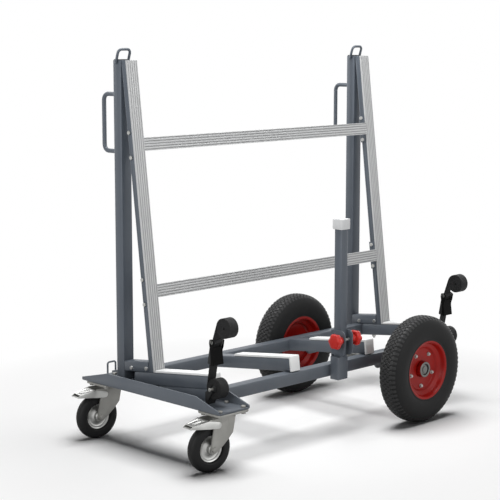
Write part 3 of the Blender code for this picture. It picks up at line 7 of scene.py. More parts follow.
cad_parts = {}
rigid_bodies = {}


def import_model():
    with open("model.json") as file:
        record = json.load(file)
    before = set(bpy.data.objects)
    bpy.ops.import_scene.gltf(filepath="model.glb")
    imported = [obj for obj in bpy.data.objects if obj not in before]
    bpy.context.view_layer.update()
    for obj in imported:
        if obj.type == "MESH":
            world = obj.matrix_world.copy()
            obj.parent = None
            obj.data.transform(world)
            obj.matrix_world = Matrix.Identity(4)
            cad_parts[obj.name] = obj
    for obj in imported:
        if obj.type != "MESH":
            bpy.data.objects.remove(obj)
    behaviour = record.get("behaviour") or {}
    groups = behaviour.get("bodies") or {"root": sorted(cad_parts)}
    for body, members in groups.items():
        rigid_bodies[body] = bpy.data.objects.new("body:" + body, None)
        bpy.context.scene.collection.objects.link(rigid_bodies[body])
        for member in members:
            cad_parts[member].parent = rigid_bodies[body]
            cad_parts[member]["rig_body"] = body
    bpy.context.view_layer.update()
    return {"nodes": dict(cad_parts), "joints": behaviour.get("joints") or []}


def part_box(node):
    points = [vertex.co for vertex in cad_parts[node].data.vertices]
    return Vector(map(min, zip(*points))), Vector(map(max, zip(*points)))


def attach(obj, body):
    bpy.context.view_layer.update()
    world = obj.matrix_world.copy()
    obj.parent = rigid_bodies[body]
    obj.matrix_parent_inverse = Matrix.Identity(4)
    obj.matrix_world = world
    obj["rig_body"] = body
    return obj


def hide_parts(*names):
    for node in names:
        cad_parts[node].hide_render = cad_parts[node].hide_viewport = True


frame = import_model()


# Chassis and rack steelwork. A folded channel, square tubes and posts of mild steel, welded
# or bolted together and powder coated slate grey. Each takes its solid's own form, with the
# sharp edges eased.
class Value:
    """A shader socket that Python's own signs work on."""

    def __init__(self, nodes, socket):
        self.nodes = nodes
        self.socket = socket

    def work(self, operation, first, second=0.0):
        return self.nodes.node("ShaderNodeMath", {"operation": operation}, {0: first, 1: second})

    def __add__(self, other):
        return self.work("ADD", self, other)

    def __sub__(self, other):
        return self.work("SUBTRACT", self, other)

    def __mul__(self, other):
        return self.work("MULTIPLY", self, other)

    def __rsub__(self, other):
        return self.work("SUBTRACT", other, self)

    def greatest(self, other):
        return self.work("MAXIMUM", self, other)

    def least(self, other):
        return self.work("MINIMUM", self, other)

    def sine(self):
        return self.work("SINE", self)

    def root(self):
        return self.work("SQRT", self)

    def clipped(self):
        return self.least(1.0).greatest(0.0)

    __radd__ = __add__
    __rmul__ = __mul__


class Nodes:
    """A node tree that expressions add nodes to."""

    def __init__(self, tree):
        self.tree = tree

    def node(self, kind, settings=None, inputs=None, out=0):
        """One node of a kind: its settings first, then its inputs, and the output it is read at."""
        made = self.tree.nodes.new(kind)
        for key, setting in (settings or {}).items():
            setattr(made, key, setting)
        for key, given in (inputs or {}).items():
            self.feed(made.inputs[key], given)
        return Value(self, made.outputs[out])

    def feed(self, socket, given):
        if isinstance(given, Value):
            self.tree.links.new(given.socket, socket)
        elif socket.type == "RGBA" and len(given) == 3:
            socket.default_value = (*given, 1.0)
        else:
            socket.default_value = given


class Finish(Nodes):
    """A material whose nodes are added by expressions."""

    def __init__(self, name, roughness=0.5, metallic=0.0, specular=0.5):
        self.material = bpy.data.materials.new(name)
        self.material.use_nodes = True
        super().__init__(self.material.node_tree)
        self.shader = self.tree.nodes["Principled BSDF"]
        self.shader.inputs["Roughness"].default_value = roughness
        self.shader.inputs["Metallic"].default_value = metallic
        self.shader.inputs["Specular IOR Level"].default_value = specular

    def place(self, scale=(1, 1, 1)):
        """Object coordinates, stretched."""
        spot = self.node("ShaderNodeTexCoord", out="Object")
        return self.node("ShaderNodeMapping", {}, {"Vector": spot, "Scale": scale})

    def part(self, axis, spot=None):
        """How far the surface point lies along X, Y or Z."""
        return self.node("ShaderNodeSeparateXYZ", {}, {"Vector": spot or self.place()}, axis)

    def grain(self, scale, detail=3.0, rough=0.55, place=None):
        inputs = {"Vector": place or self.place(), "Scale": scale, "Detail": detail, "Roughness": rough}
        return self.node("ShaderNodeTexNoise", {}, inputs)

    def cells(self, scale):
        return self.node("ShaderNodeTexVoronoi", {}, {"Vector": self.place(), "Scale": scale})

    def mixed(self, share, first, second):
        """Two colours mixed; 6, 7 and 2 are the node's colour sockets."""
        return self.node("ShaderNodeMix", {"data_type": "RGBA"}, {0: share, 6: first, 7: second}, 2)

    def bumps(self, height, distance, strength):
        inputs = {"Height": height, "Distance": distance, "Strength": strength}
        self.feed(self.shader.inputs["Normal"], self.node("ShaderNodeBump", {}, inputs))

    def set(self, **inputs):
        """Feeds the shader's inputs by their names, with _ for a space."""
        for key, given in inputs.items():
            self.feed(self.shader.inputs[key.replace("_", " ")], given)


def slate_enamel():
    """Slate-grey powder coat: orange peel, faint rubs, and dust low down."""
    dark, light = (0.056, 0.067, 0.083), (0.073, 0.086, 0.104)
    rubbed, dust = (0.19, 0.205, 0.225), (0.26, 0.25, 0.235)
    paint = Finish("slate_enamel", 0.42, specular=0.34)
    broad = paint.grain(9.0, 2.0)
    fine = paint.grain(260.0, 2.0)
    rubs = paint.grain(60.0, 6.0, 0.7, paint.place(scale=(1.0, 1.0, 0.25)))
    worn = ((rubs - 0.62) * 5.0).clipped() * 0.25
    dusty = (1.0 - paint.part("Z") * 2.4).clipped() * broad * 0.22
    colour = paint.mixed(broad, dark, light)
    colour = paint.mixed(worn, colour, rubbed)
    colour = paint.mixed(dusty, colour, dust)
    paint.set(Base_Color=colour, Roughness=0.36 + broad * 0.14 + worn * 0.4 + dusty * 0.5)
    paint.bumps(fine * 0.6 + rubs * 0.4, 0.00012, 0.6)
    return paint.material


def zinc_plate():
    """Bright zinc plating: silver grey, cloudy, with a fine grain and duller scuffs."""
    dark, light, scuffed = (0.33, 0.333, 0.325), (0.48, 0.48, 0.465), (0.30, 0.29, 0.27)
    plate = Finish("zinc_plate", 0.35, 0.92)
    cloud = plate.grain(42.0, 4.0)
    spots = plate.grain(420.0, 3.0)
    scuffs = plate.grain(90.0, 6.0, 0.72)
    worn = ((scuffs - 0.58) * 4.0).clipped()
    colour = plate.mixed(cloud, dark, light)
    colour = plate.mixed(worn * 0.35, colour, scuffed)
    plate.set(Base_Color=colour, Roughness=0.27 + cloud * 0.16 + worn * 0.18)
    plate.bumps(spots * 0.5 + scuffs * 0.5, 0.00006, 0.5)
    return plate.material


slate = slate_enamel()
zinc = zinc_plate()
tube_edge = 0.0008
merge_reach = 0.00001
flat_angle = 1.0                # degrees, under which facets are one flat face
round_angle = 28.0


def deselect():
    """Clears the selection, because an operator acts on all that is selected."""
    bpy.ops.object.select_all(action="DESELECT")


def begin(piece):
    """Opens one piece in edit mode with everything on it selected."""
    deselect()
    piece.select_set(True)
    bpy.context.view_layer.objects.active = piece
    bpy.ops.object.mode_set(mode="EDIT")
    bpy.ops.mesh.select_all(action="SELECT")


def smooth(piece, angle=30.0):
    """Shades a piece's round faces smooth."""
    deselect()
    piece.select_set(True)
    bpy.context.view_layer.objects.active = piece
    bpy.ops.object.shade_smooth_by_angle(angle=radians(angle))
    return piece


def rounded_edges(piece, width, segments=2, angle=30.0):
    """Bevels the sharp edges of a piece and applies it."""
    ease = piece.modifiers.new("ease", "BEVEL")
    ease.width = width
    ease.segments = segments
    ease.limit_method = "ANGLE"
    ease.angle_limit = radians(angle)
    ease.use_clamp_overlap = True
    bpy.context.view_layer.objects.active = piece
    bpy.ops.object.modifier_apply(modifier=ease.name)


def finished(piece, material, body, *replaced):
    """Gives a piece its finish, the body that it rides on and the solid that it stands for."""
    piece.data.materials.clear()
    piece.data.materials.append(material)
    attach(piece, body)
    if replaced:
        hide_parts(*replaced)
    return piece


def body_of(node):
    """The body that a solid rides on."""
    return frame["nodes"][node]["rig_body"]


def eased(node, material, width, segments=2, angle=30.0):
    """A merged copy of a solid whose sharp edges are rounded."""
    piece = bpy.data.objects.new(f"{node}_eased", frame["nodes"][node].data.copy())
    bpy.context.scene.collection.objects.link(piece)
    begin(piece)
    bpy.ops.mesh.remove_doubles(threshold=merge_reach)
    bpy.ops.mesh.dissolve_limited(angle_limit=radians(flat_angle))
    bpy.ops.object.mode_set(mode="OBJECT")
    rounded_edges(piece, width, segments, angle)
    smooth(piece, round_angle)
    return finished(piece, material, body_of(node), node)


def bright(piece, is_bolt):
    """Gives the faces of bolts and nuts on a painted piece their zinc."""
    piece.data.materials.append(zinc)
    for face in piece.data.polygons:
        if is_bolt(face.center):
            face.material_index = 1


for name in ("end_channel", "channel_packer", "front_beam", "rear_beam", "support_bar_1", "support_bar_2",
             "support_bar_3", "support_bar_4", "lean_post_left", "lean_post_right", "post_sleeve",
             "post_clamp", "front_post", "upright_left", "upright_right"):
    eased(name, slate, tube_edge)


# Crossbar brackets and rack feet. Folded steel angles, powder coated with the rack; they
# clasp the leaning posts, and their bolts and nuts are bright zinc.
bracket_edge = 0.0005
bolt_reach = 0.030              # a bracket's bolts lie further than this from its middle
leg_outside = 0.0045            # a bracket's leg beside the post
post_margin = 0.0002
foot_underside = 0.232
for side, leg_side in (("left", 1), ("right", -1)):
    post_low, post_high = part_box(f"lean_post_{side}")
    for level in ("upper", "lower"):
        bracket = f"crossbar_{level}_bracket_{side}"
        low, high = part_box(bracket)
        middle = (low[2] + high[2]) / 2
        first = post_low[0] - (leg_outside if leg_side < 0 else post_margin)
        last = post_high[0] + (leg_outside if leg_side > 0 else post_margin)
        bright(eased(bracket, slate, bracket_edge),
               lambda spot: abs(spot.z - middle) > bolt_reach and not first < spot.x < last)
    first, last = post_low[0] - post_margin, post_high[0] + post_margin
    bright(eased(f"rack_foot_{side}", slate, bracket_edge),
           lambda spot: not first < spot.x < last or spot.z < foot_underside)


# Ribbed posts and crossbars. Extruded aluminium flats with five rounded ribs, screwed to the
# brackets, satin and faintly drawn along their length, with grey wear where slabs slide. The
# hollows between the ribs carry painted shade: a darker copy of the alloy.
def drawn_alloy(name, along, light, dark):
    """Mill-finish aluminium with its drawing lines along one axis."""
    rubbed = (0.24, 0.24, 0.235)
    stretch = {"x": (0.04, 18.0, 18.0), "z": (18.0, 18.0, 0.04)}[along]
    alloy = Finish(name, 0.55, 0.12, specular=0.4)
    lines = alloy.grain(14.0, 1.0, 0.5, alloy.place(scale=stretch))
    cloud = alloy.grain(6.0, 3.0)
    marks = alloy.grain(34.0, 7.0, 0.75)
    worn = ((marks - 0.6) * 4.5).clipped()
    colour = alloy.mixed(lines, dark, light)
    colour = alloy.mixed(worn * 0.25, colour, rubbed)
    alloy.set(Base_Color=colour, Roughness=0.48 + lines * 0.12 + cloud * 0.08 + worn * 0.1)
    alloy.bumps(lines * 0.8 + marks * 0.2, 0.00004, 0.4)
    return alloy.material


alloy_light = (0.45, 0.455, 0.455)
alloy_dark = (0.37, 0.375, 0.38)
# Colours of the hollows between the ribs: painted shade, darker than the ribs'.
groove_shade_light = (0.30, 0.303, 0.305)
groove_shade_dark = (0.24, 0.243, 0.246)
rack_lean = radians(7.0)
rack_front = Vector((0, -cos(rack_lean), sin(rack_lean)))
groove_from, groove_to = 0.0004, 0.0024         # behind the ribs' faces
groove_facing = 0.2             # how far a groove's face looks to the front, from 0 to 1
rib_edge = 0.0003
rib_edge_angle = 40.0
ribbed_pieces = {"z": ("ribbed_post_left", "ribbed_post_right"), "x": ("crossbar_upper", "crossbar_lower")}


def paint_groove_shade(piece, dark):
    """Paints shade on the flanks and floor of each hollow between the ribs: a darker copy of the alloy."""
    piece.data.materials.append(dark)
    front = max(vertex.co.dot(rack_front) for vertex in piece.data.vertices)
    for face in piece.data.polygons:
        depth = front - face.center.dot(rack_front)
        if groove_from < depth < groove_to and face.normal.dot(rack_front) > groove_facing:
            face.material_index = 1


for along, names in ribbed_pieces.items():
    ribs = drawn_alloy(f"drawn_alloy_{along}", along, alloy_light, alloy_dark)
    # The hollows take a darker copy of the alloy: painted shade.
    groove_shade = drawn_alloy(f"groove_shade_alloy_{along}", along, groove_shade_light, groove_shade_dark)
    for name in names:
        paint_groove_shade(eased(name, ribs, rib_edge, 1, rib_edge_angle), groove_shade)


# Support pads and the front post's cap. Pale grey moulded rubber, glued on the supports and
# folded over their front ends; soft-edged, finely pebbled and scuffed by the slabs' edges.
def pale_moulding(name, light, dark):
    """Light grey moulding: pebbled, speckled, with grey scuffs."""
    scuffed = (0.33, 0.33, 0.325)
    rubber = Finish(name, 0.62)
    pebble = rubber.cells(520.0)
    speck = rubber.grain(300.0, 4.0)
    scuff = rubber.grain(26.0, 7.0, 0.72, rubber.place(scale=(1.6, 0.5, 1.0)))
    worn = ((scuff - 0.55) * 3.6).clipped()
    colour = rubber.mixed(speck, dark, light)
    colour = rubber.mixed(worn * 0.35, colour, scuffed)
    rubber.set(Base_Color=colour, Roughness=0.55 + worn * 0.2 + speck * 0.1)
    rubber.bumps(pebble * 0.5 + speck * 0.5, 0.0002, 0.6)
    return rubber.material


pad_rubber = pale_moulding("pad_rubber", light=(0.70, 0.705, 0.70), dark=(0.60, 0.605, 0.605))
cap_plastic = pale_moulding("cap_plastic", light=(0.52, 0.525, 0.53), dark=(0.44, 0.445, 0.45))
pad_edge = 0.0016
post_cap_edge = 0.0035
for number in (1, 2, 3, 4):
    eased(f"support_pad_{number}", pad_rubber, pad_edge, 3)
eased("front_post_cap", cap_plastic, post_cap_edge, 4)


# Caps in the uprights' tops. Black moulded polyethylene plugs, pressed in, with a low
# rounded head that stops short of the tube's edge.
def moulded_black():
    """Black moulded plastic with a fine spark-eroded grain."""
    dark, light = (0.014, 0.0145, 0.016), (0.0266, 0.02755, 0.0304)
    plastic = Finish("plug_black", 0.42)
    spark = plastic.cells(900.0)
    cloud = plastic.grain(30.0, 4.0)
    plastic.set(Base_Color=plastic.mixed(cloud, dark, light), Roughness=0.42 + cloud * 0.14)
    plastic.bumps(spark, 0.00012, 0.5)
    return plastic.material


plug_black = moulded_black()
plug_edge = 0.0012
for side in ("left", "right"):
    eased(f"upright_cap_{side}", plug_black, plug_edge, 3)


# Castors: plates, ball races and forks. Pressed steel, bright zinc plated; the plate is bolted
# under the channel, and the fork turns on its ball race with the wheel's bolt through its legs.
def dull_zinc():
    """Passivated zinc on pressed steel: duller, faintly warm, streaked by handling."""
    dark, light, streaked = (0.195, 0.194, 0.182), (0.275, 0.272, 0.256), (0.12, 0.117, 0.105)
    plate = Finish("dull_zinc", 0.42, 0.7)
    cloud = plate.grain(30.0, 4.0)
    streaks = plate.grain(50.0, 6.0, 0.72, plate.place(scale=(1.0, 1.0, 0.3)))
    worn = ((streaks - 0.58) * 4.0).clipped()
    colour = plate.mixed(cloud, dark, light)
    colour = plate.mixed(worn * 0.4, colour, streaked)
    plate.set(Base_Color=colour, Roughness=0.38 + cloud * 0.16 + worn * 0.15)
    plate.bumps(streaks * 0.5 + cloud * 0.5, 0.00008, 0.5)
    return plate.material


fork_zinc = dull_zinc()
plate_edge = 0.0007
fork_edge = 0.0011
fork_edge_angle = 40.0
plate_underside = 0.1922
race_rim = plate_underside - 0.0088
race_profile = [(0.0300, plate_underside), (0.0352, plate_underside), (0.0366, plate_underside - 0.0016),
                (0.0368, plate_underside - 0.0050), (0.0362, plate_underside - 0.0078),
                (0.0340, race_rim), (0.0300, race_rim)]
at_origin = Vector((0, 0, 0))
upwards = Vector((0, 0, 1))
ring_merge_reach = 0.000001
turned_angle = 32.0


def joint_place(name):
    """Where a joint is, and which way its axis points."""
    for joint in frame["joints"]:
        if joint["name"] == name:
            return Vector(joint["pos_m"]), Vector(joint["axis"]).normalized()


def standing(place, axis):
    """Carries a shape made about Z to its place, with Z along an axis."""
    return Matrix.Translation(place) @ axis.to_track_quat("Z", "Y").to_matrix().to_4x4()


def turned(name, profile, place, axis, steps=72, closed=True):
    """A turned piece: a circle extruded and resized ring by ring through (radius, height)
    points, closed on itself or capped, and stood on its axis."""
    if closed:
        profile = [*profile, profile[0]]
    deselect()
    bpy.ops.mesh.primitive_circle_add(vertices=steps, radius=profile[0][0])
    piece = bpy.context.active_object
    piece.name = name
    begin(piece)
    bpy.ops.transform.translate(value=(0, 0, profile[0][1]))
    for (radius, height), (next_radius, next_height) in zip(profile, profile[1:]):
        bpy.ops.mesh.extrude_edges_move(TRANSFORM_OT_translate={"value": (0, 0, next_height - height)})
        ratio = next_radius / radius
        bpy.ops.transform.resize(value=(ratio, ratio, 1), center_override=(0, 0, next_height))
    bpy.ops.mesh.select_all(action="SELECT")
    if not closed:
        bpy.ops.mesh.fill_holes(sides=0)
        bpy.ops.mesh.select_all(action="SELECT")
    bpy.ops.mesh.remove_doubles(threshold=ring_merge_reach)
    bpy.ops.mesh.normals_make_consistent(inside=False)
    bpy.ops.object.mode_set(mode="OBJECT")
    piece.data.transform(standing(place, axis))
    return smooth(piece, turned_angle)


for side in ("front", "back"):
    eased(f"castor_{side}_plate", fork_zinc, plate_edge)
    eased(f"castor_{side}_fork", fork_zinc, fork_edge, 3, fork_edge_angle)
for side in ("front", "back"):
    place = joint_place(f"castor_{side}_swivel")[0]
    race = turned(f"castor_{side}_ball_race", race_profile, Vector((place.x, place.y, 0)), upwards)
    finished(race, fork_zinc, body_of(f"castor_{side}_plate"))


# Castor wheels. Solid black rubber tyres, round in section with a moulding line on each wall,
# on dished discs of pressed steel that are riveted to a plain bearing tube.
def black_rubber(name, dust, lift=1.0, specular=0.16):
    """Black rubber: soft sheen, fine grain, and grey dust rubbed into it in patches."""
    grey_dust = (0.07, 0.068, 0.063)
    rubber = Finish(name, 0.55, specular=specular)
    cloud = rubber.grain(22.0, 4.0)
    fine = rubber.grain(480.0, 3.0)
    scuff = rubber.grain(70.0, 7.0, 0.75)
    worn = ((scuff - 0.56) * 3.5).clipped()
    dark, light = (0.0040 * lift, 0.0042 * lift, 0.0046 * lift), (0.0092 * lift,) * 3
    colour = rubber.mixed(cloud, dark, light)
    colour = rubber.mixed(worn * dust, colour, grey_dust)
    rubber.set(Base_Color=colour, Roughness=0.50 + cloud * 0.15 + worn * 0.2)
    rubber.bumps(fine * 0.6 + scuff * 0.4, 0.00015, 0.6)
    return rubber.material


def mirrored(half_profile):
    """A profile and its mirror image across the wheel's middle."""
    return half_profile + [(radius, -height) for radius, height in reversed(half_profile) if height != 0]


castor_rubber = black_rubber("castor_rubber", dust=0.22)
tyre_half = [(0.0446, 0.0118), (0.0475, 0.0180), (0.0505, 0.0192), (0.0520, 0.0198), (0.0535, 0.0196),
             (0.0600, 0.0200), (0.0665, 0.0192), (0.0722, 0.0170), (0.0762, 0.0136), (0.0786, 0.0092),
             (0.0797, 0.0046), (0.0800, 0.0)]
disc_half = [(0.0443, 0.0112), (0.0415, 0.0108), (0.0390, 0.0088), (0.0368, 0.0062), (0.0330, 0.0050),
             (0.0262, 0.0056), (0.0225, 0.0074), (0.0190, 0.0092), (0.0172, 0.0104), (0.0165, 0.0130),
             (0.0163, 0.0244), (0.0152, 0.0255), (0.0067, 0.0255)]
tyre_steps = 96
for side in ("front", "back"):
    place, axis = joint_place(f"castor_{side}_wheel_spin")
    tyre = turned(f"castor_{side}_round_tyre", mirrored(tyre_half), place, axis, tyre_steps)
    finished(tyre, castor_rubber, body_of(f"castor_{side}_tyre"), f"castor_{side}_tyre")
    disc = turned(f"castor_{side}_dished_disc", mirrored(disc_half), place, axis)
    finished(disc, zinc, body_of(f"castor_{side}_wheel_core"), f"castor_{side}_wheel_core")


# Castor brake pedals. Pressed steel channels, zinc plated, hung on stub pins outside the
# fork's legs, with a raised rib down the tread and a slot on each side of it.
pedal_edge = 0.0008
pedal_edge_angle = 35.0
slot_length = 0.030
slot_width = 0.0055
slot_depth = 0.012
slot_aside = 0.0115
tread_middle = 0.066            # from the pedal's pin
tread_height = 0.0131
tread_fall = 0.19               # radians
rib_length = 0.040
rib_width = 0.0075
rib_height = 0.0022
rib_proud_share = 0.35
bar_round_share = 0.4           # of a bar's thinner side


def rounded_bar(name, length, width, height, place, turn, segments=3):
    """A flat bar with rounded edges: a cube at its size, with its edges bevelled."""
    deselect()
    bpy.ops.mesh.primitive_cube_add(size=1)
    piece = bpy.context.active_object
    piece.name = name
    begin(piece)
    bpy.ops.transform.resize(value=(length, width, height))
    bpy.ops.object.mode_set(mode="OBJECT")
    rounded_edges(piece, min(width, height) * bar_round_share, segments)
    piece.data.transform(Matrix.Translation(place) @ turn)
    return smooth(piece)


def cut_from(piece, cutter):
    """Cuts one shape from another and deletes the cutter."""
    cut = piece.modifiers.new("cut", "BOOLEAN")
    cut.operation = "DIFFERENCE"
    cut.solver = "EXACT"
    cut.object = cutter
    bpy.context.view_layer.objects.active = piece
    bpy.ops.object.modifier_apply(modifier=cut.name)
    bpy.data.objects.remove(cutter, do_unlink=True)


for side in ("front", "back"):
    pin, axis = joint_place(f"castor_{side}_pedal_press")
    back = Vector((axis.y, -axis.x, 0))
    back = back if back.x < 0 else -back
    aside = upwards.cross(back)
    facing = Matrix((back, aside, upwards)).transposed().to_4x4() @ Matrix.Rotation(tread_fall, 4, "Y")
    tread = pin + back * tread_middle + upwards * tread_height
    pedal = eased(f"castor_{side}_brake_pedal", zinc, pedal_edge, 2, pedal_edge_angle)
    for hand in (-1, 1):
        beside = tread + aside * (hand * slot_aside)
        cut_from(pedal, rounded_bar("slot", slot_length, slot_width, slot_depth, beside, facing))
    rib = rounded_bar(f"castor_{side}_pedal_rib", rib_length, rib_width, rib_height,
                      tread + upwards * (rib_height * rib_proud_share), facing)
    finished(rib, zinc, body_of(f"castor_{side}_brake_pedal"))


# Big wheels: tyres. Black pneumatic tyres, moulded with a block tread of five staggered rows
# and a row of shoulder lugs on each side, and ribbed where the wall meets the rim.
block_count = 68
tread_base = 0.1956
wall_half = [(0.1043, 0.0352), (0.1080, 0.0400), (0.1120, 0.0408), (0.1150, 0.0402), (0.1190, 0.0420),
             (0.1290, 0.0446), (0.1400, 0.0458), (0.1520, 0.0456), (0.1630, 0.0444), (0.1720, 0.0420),
             (0.1800, 0.0385), (0.1862, 0.0338), (0.1908, 0.0268), (0.1938, 0.0175), (0.1954, 0.0075),
             (0.1957, 0.0)]
bead_inside = [(0.1046, -0.0260), (0.1046, 0.0260)]
# A row of blocks: how far aside it lies, a block's length, width and height, the share of a
# pitch that it is shifted by, its turn, how far it lies below the crown, and its lean.
middle_row = (0.0, 0.0105, 0.0135, 0.0020, 0.0, 0.55, 0.0, 0.0)
inner_rows = [(hand * 0.0108, 0.0110, 0.0125, 0.0020, 0.5, -0.5, 0.0005, hand * 0.06) for hand in (1, -1)]
outer_rows = [(hand * 0.0212, 0.0115, 0.0130, 0.0019, 0.0, 0.4, 0.0026, hand * 0.34) for hand in (1, -1)]
lug_length = 0.0125
lug_width = 0.0095
lug_height = 0.0030
lug_radius = 0.1875
lug_aside = 0.0316
lug_lean = 0.80
wheel_steps = 144
wheel_angle = 34.0
tyre_rubber = black_rubber("tyre_rubber", dust=0.30)
# The blocks and lugs get their own copy of the rubber, painted 1.6 times lighter than the walls': a painted
# highlight for the glint on their edges, against which the walls between them read as painted shade. It also
# carries twice the walls' dust.
highlit_tread_rubber = black_rubber("highlit_tread_rubber", dust=0.60, lift=1.6, specular=0.30)


def repeated(piece, places):
    """Copies of a finished shape at many places, kept as one mesh."""
    whole = bmesh.new()
    for place in places:
        copy = piece.data.copy()
        copy.transform(place)
        whole.from_mesh(copy)
        bpy.data.meshes.remove(copy)
    whole.to_mesh(piece.data)
    whole.free()


def joined(first, *others):
    """One piece from several."""
    deselect()
    for piece in (first, *others):
        piece.select_set(True)
    bpy.context.view_layer.objects.active = first
    bpy.ops.object.join()
    return first


def round_the_wheel(radius, aside, start, turn, lean):
    """The places of a row's blocks on a wheel that lies about Z, their tops facing outwards."""
    for step in range(block_count):
        out = Matrix.Rotation(2 * pi * (step + start) / block_count, 4, "Z")
        out = out @ Matrix.Translation((radius, 0, aside))
        yield out @ Matrix.Rotation(pi / 2 - lean, 4, "Y") @ Matrix.Rotation(turn, 4, "Z")


def outward_of(side):
    """The way out from the cart at one of its two big wheels."""
    return Vector((0, -1 if side == "front" else 1, 0))


for side in ("front", "back"):
    place = joint_place(f"wheel_{side}_spin")[0]
    profile = mirrored(wall_half) + bead_inside
    tyre = turned(f"wheel_{side}_block_tyre", profile, at_origin, upwards, wheel_steps)
    carcass_faces = len(tyre.data.polygons)
    rows = []
    for aside, length, width, height, start, turn, drop, lean in (middle_row, *inner_rows, *outer_rows):
        block = rounded_bar("block", length, width, height * 2, at_origin, Matrix(), 1)
        repeated(block, round_the_wheel(tread_base - drop, aside, start, turn, lean))
        rows.append(block)
    for hand, start in ((-1, 0.5), (1, 0.0)):
        lug = rounded_bar("lug", lug_length, lug_width, lug_height, at_origin, Matrix(), 1)
        repeated(lug, round_the_wheel(lug_radius, hand * lug_aside, start, 0.0, hand * lug_lean))
        rows.append(lug)
    joined(tyre, *rows)
    tyre.data.transform(standing(place, outward_of(side)))
    finished(smooth(tyre, wheel_angle), tyre_rubber, body_of(f"wheel_{side}_tyre"), f"wheel_{side}_tyre")
    # Faces of the blocks and lugs take the lighter rubber with its painted highlight.
    tyre.data.materials.append(highlit_tread_rubber)
    for face in tyre.data.polygons[carcass_faces:]:
        face.material_index = 1


# Big wheels: rims. Two-part pressed steel rims with a rolled lip, a deep dish and a flat bolt
# face, stove enamelled red.
def red_enamel():
    """Red stove enamel: cloudy, with dull brownish rubs and a fine orange peel."""
    dark, light, rubbed = (0.205, 0.0046, 0.0030), (0.295, 0.0075, 0.0050), (0.13, 0.035, 0.028)
    paint = Finish("red_enamel", 0.3, specular=0.17)
    broad = paint.grain(16.0, 3.0)
    rubs = paint.grain(75.0, 7.0, 0.74)
    fine = paint.grain(300.0, 2.0)
    worn = ((rubs - 0.6) * 4.5).clipped()
    colour = paint.mixed(broad, dark, light)
    colour = paint.mixed(worn * 0.4, colour, rubbed)
    paint.set(Base_Color=colour, Roughness=0.25 + broad * 0.12 + worn * 0.3)
    paint.bumps(fine * 0.6 + rubs * 0.4, 0.0001, 0.5)
    return paint.material


red = red_enamel()
rim_front = [(0.1036, 0.0352), (0.1086, 0.0386), (0.1092, 0.0396), (0.1084, 0.0404), (0.1058, 0.0402),
             (0.1020, 0.0384), (0.0998, 0.0346), (0.0986, 0.0262), (0.0958, 0.0214), (0.0880, 0.0184),
             (0.0838, 0.0172), (0.0806, 0.0146), (0.0768, 0.0094), (0.0742, 0.0082), (0.0560, 0.0082),
             (0.0420, 0.0086), (0.0345, 0.0092), (0.0316, 0.0088), (0.0296, 0.0078)]
rim_back = [(0.0296, 0.0042), (0.0780, 0.0042), (0.0838, -0.0010), (0.0842, -0.0110), (0.0988, -0.0185),
            (0.1000, -0.0380), (0.1030, -0.0402), (0.1112, -0.0408), (0.1122, -0.0404), (0.1118, -0.0396),
            (0.1036, -0.0352), (0.1036, -0.0162), (0.0880, -0.0090), (0.0880, 0.0090), (0.1036, 0.0162)]
rim_steps = 96
rim_edge = 0.0006
rim_edge_angle = 24.0
for side in ("front", "back"):
    place = joint_place(f"wheel_{side}_spin")[0]
    rim = turned(f"wheel_{side}_pressed_rim", rim_front + rim_back, place, outward_of(side), rim_steps)
    rounded_edges(rim, rim_edge, 2, rim_edge_angle)
    finished(smooth(rim, wheel_angle), red, body_of(f"wheel_{side}_rim"), f"wheel_{side}_rim")


# Big wheels: hubs. Turned steel hubs, enamelled red with their rims; the bearing end is left
# as turned, and five zinc-plated studs with nuts hold the rim on the flange.
def turned_steel():
    """Turned steel, oiled: dull grey and cloudy, with brown stains."""
    dark, light, stained = (0.10, 0.104, 0.10), (0.20, 0.20, 0.19), (0.10, 0.078, 0.062)
    steel = Finish("turned_steel", 0.38, 0.85)
    cloud = steel.grain(70.0, 4.0)
    stain = steel.grain(30.0, 6.0, 0.7)
    dirty = ((stain - 0.52) * 3.0).clipped()
    colour = steel.mixed(cloud, dark, light)
    colour = steel.mixed(dirty * 0.4, colour, stained)
    steel.set(Base_Color=colour, Roughness=0.32 + cloud * 0.2 + dirty * 0.2)
    steel.bumps(cloud, 0.00008, 0.4)
    return steel.material


oiled_steel = turned_steel()
hub_profile = [(0.0262, 0.0280), (0.0278, 0.0276), (0.0285, 0.0262), (0.0285, 0.0040), (0.0720, 0.0037),
               (0.0720, -0.0023), (0.0285, -0.0023), (0.0285, -0.0488), (0.0272, -0.0500), (0.0130, -0.0500),
               (0.0130, 0.0150), (0.0180, 0.0150), (0.0184, 0.0172), (0.0205, 0.0174), (0.0206, 0.0268),
               (0.0216, 0.0280)]
hub_edge = 0.0004
stud_count = 5
stud_circle = 0.0633
stud_share = 0.722              # of the pitch, for the first stud
rim_face = 0.0080
washer_foot = 0.0084
nut_across = 0.0128
nut_height = 0.0066
nut_edge = 0.0012
nut_edge_angle = 60.0
stud_steps = 20
stud_end = [(0.0038, nut_height - 0.001), (0.0038, nut_height + 0.0014), (0.0030, nut_height + 0.0022)]
washer_steps = 32
washer_profile = [(0.0036, 0.0), (0.0074, 0.0), (0.0076, 0.0005), (0.0072, 0.0011), (0.0036, 0.0011)]
nut_inside, nut_outside = 0.0540, 0.0725        # the ring that the nuts lie in
bearing_start = 0.0245          # outwards from the wheel's middle
barrel_reach = 0.0290
bearing_reach = 0.0215
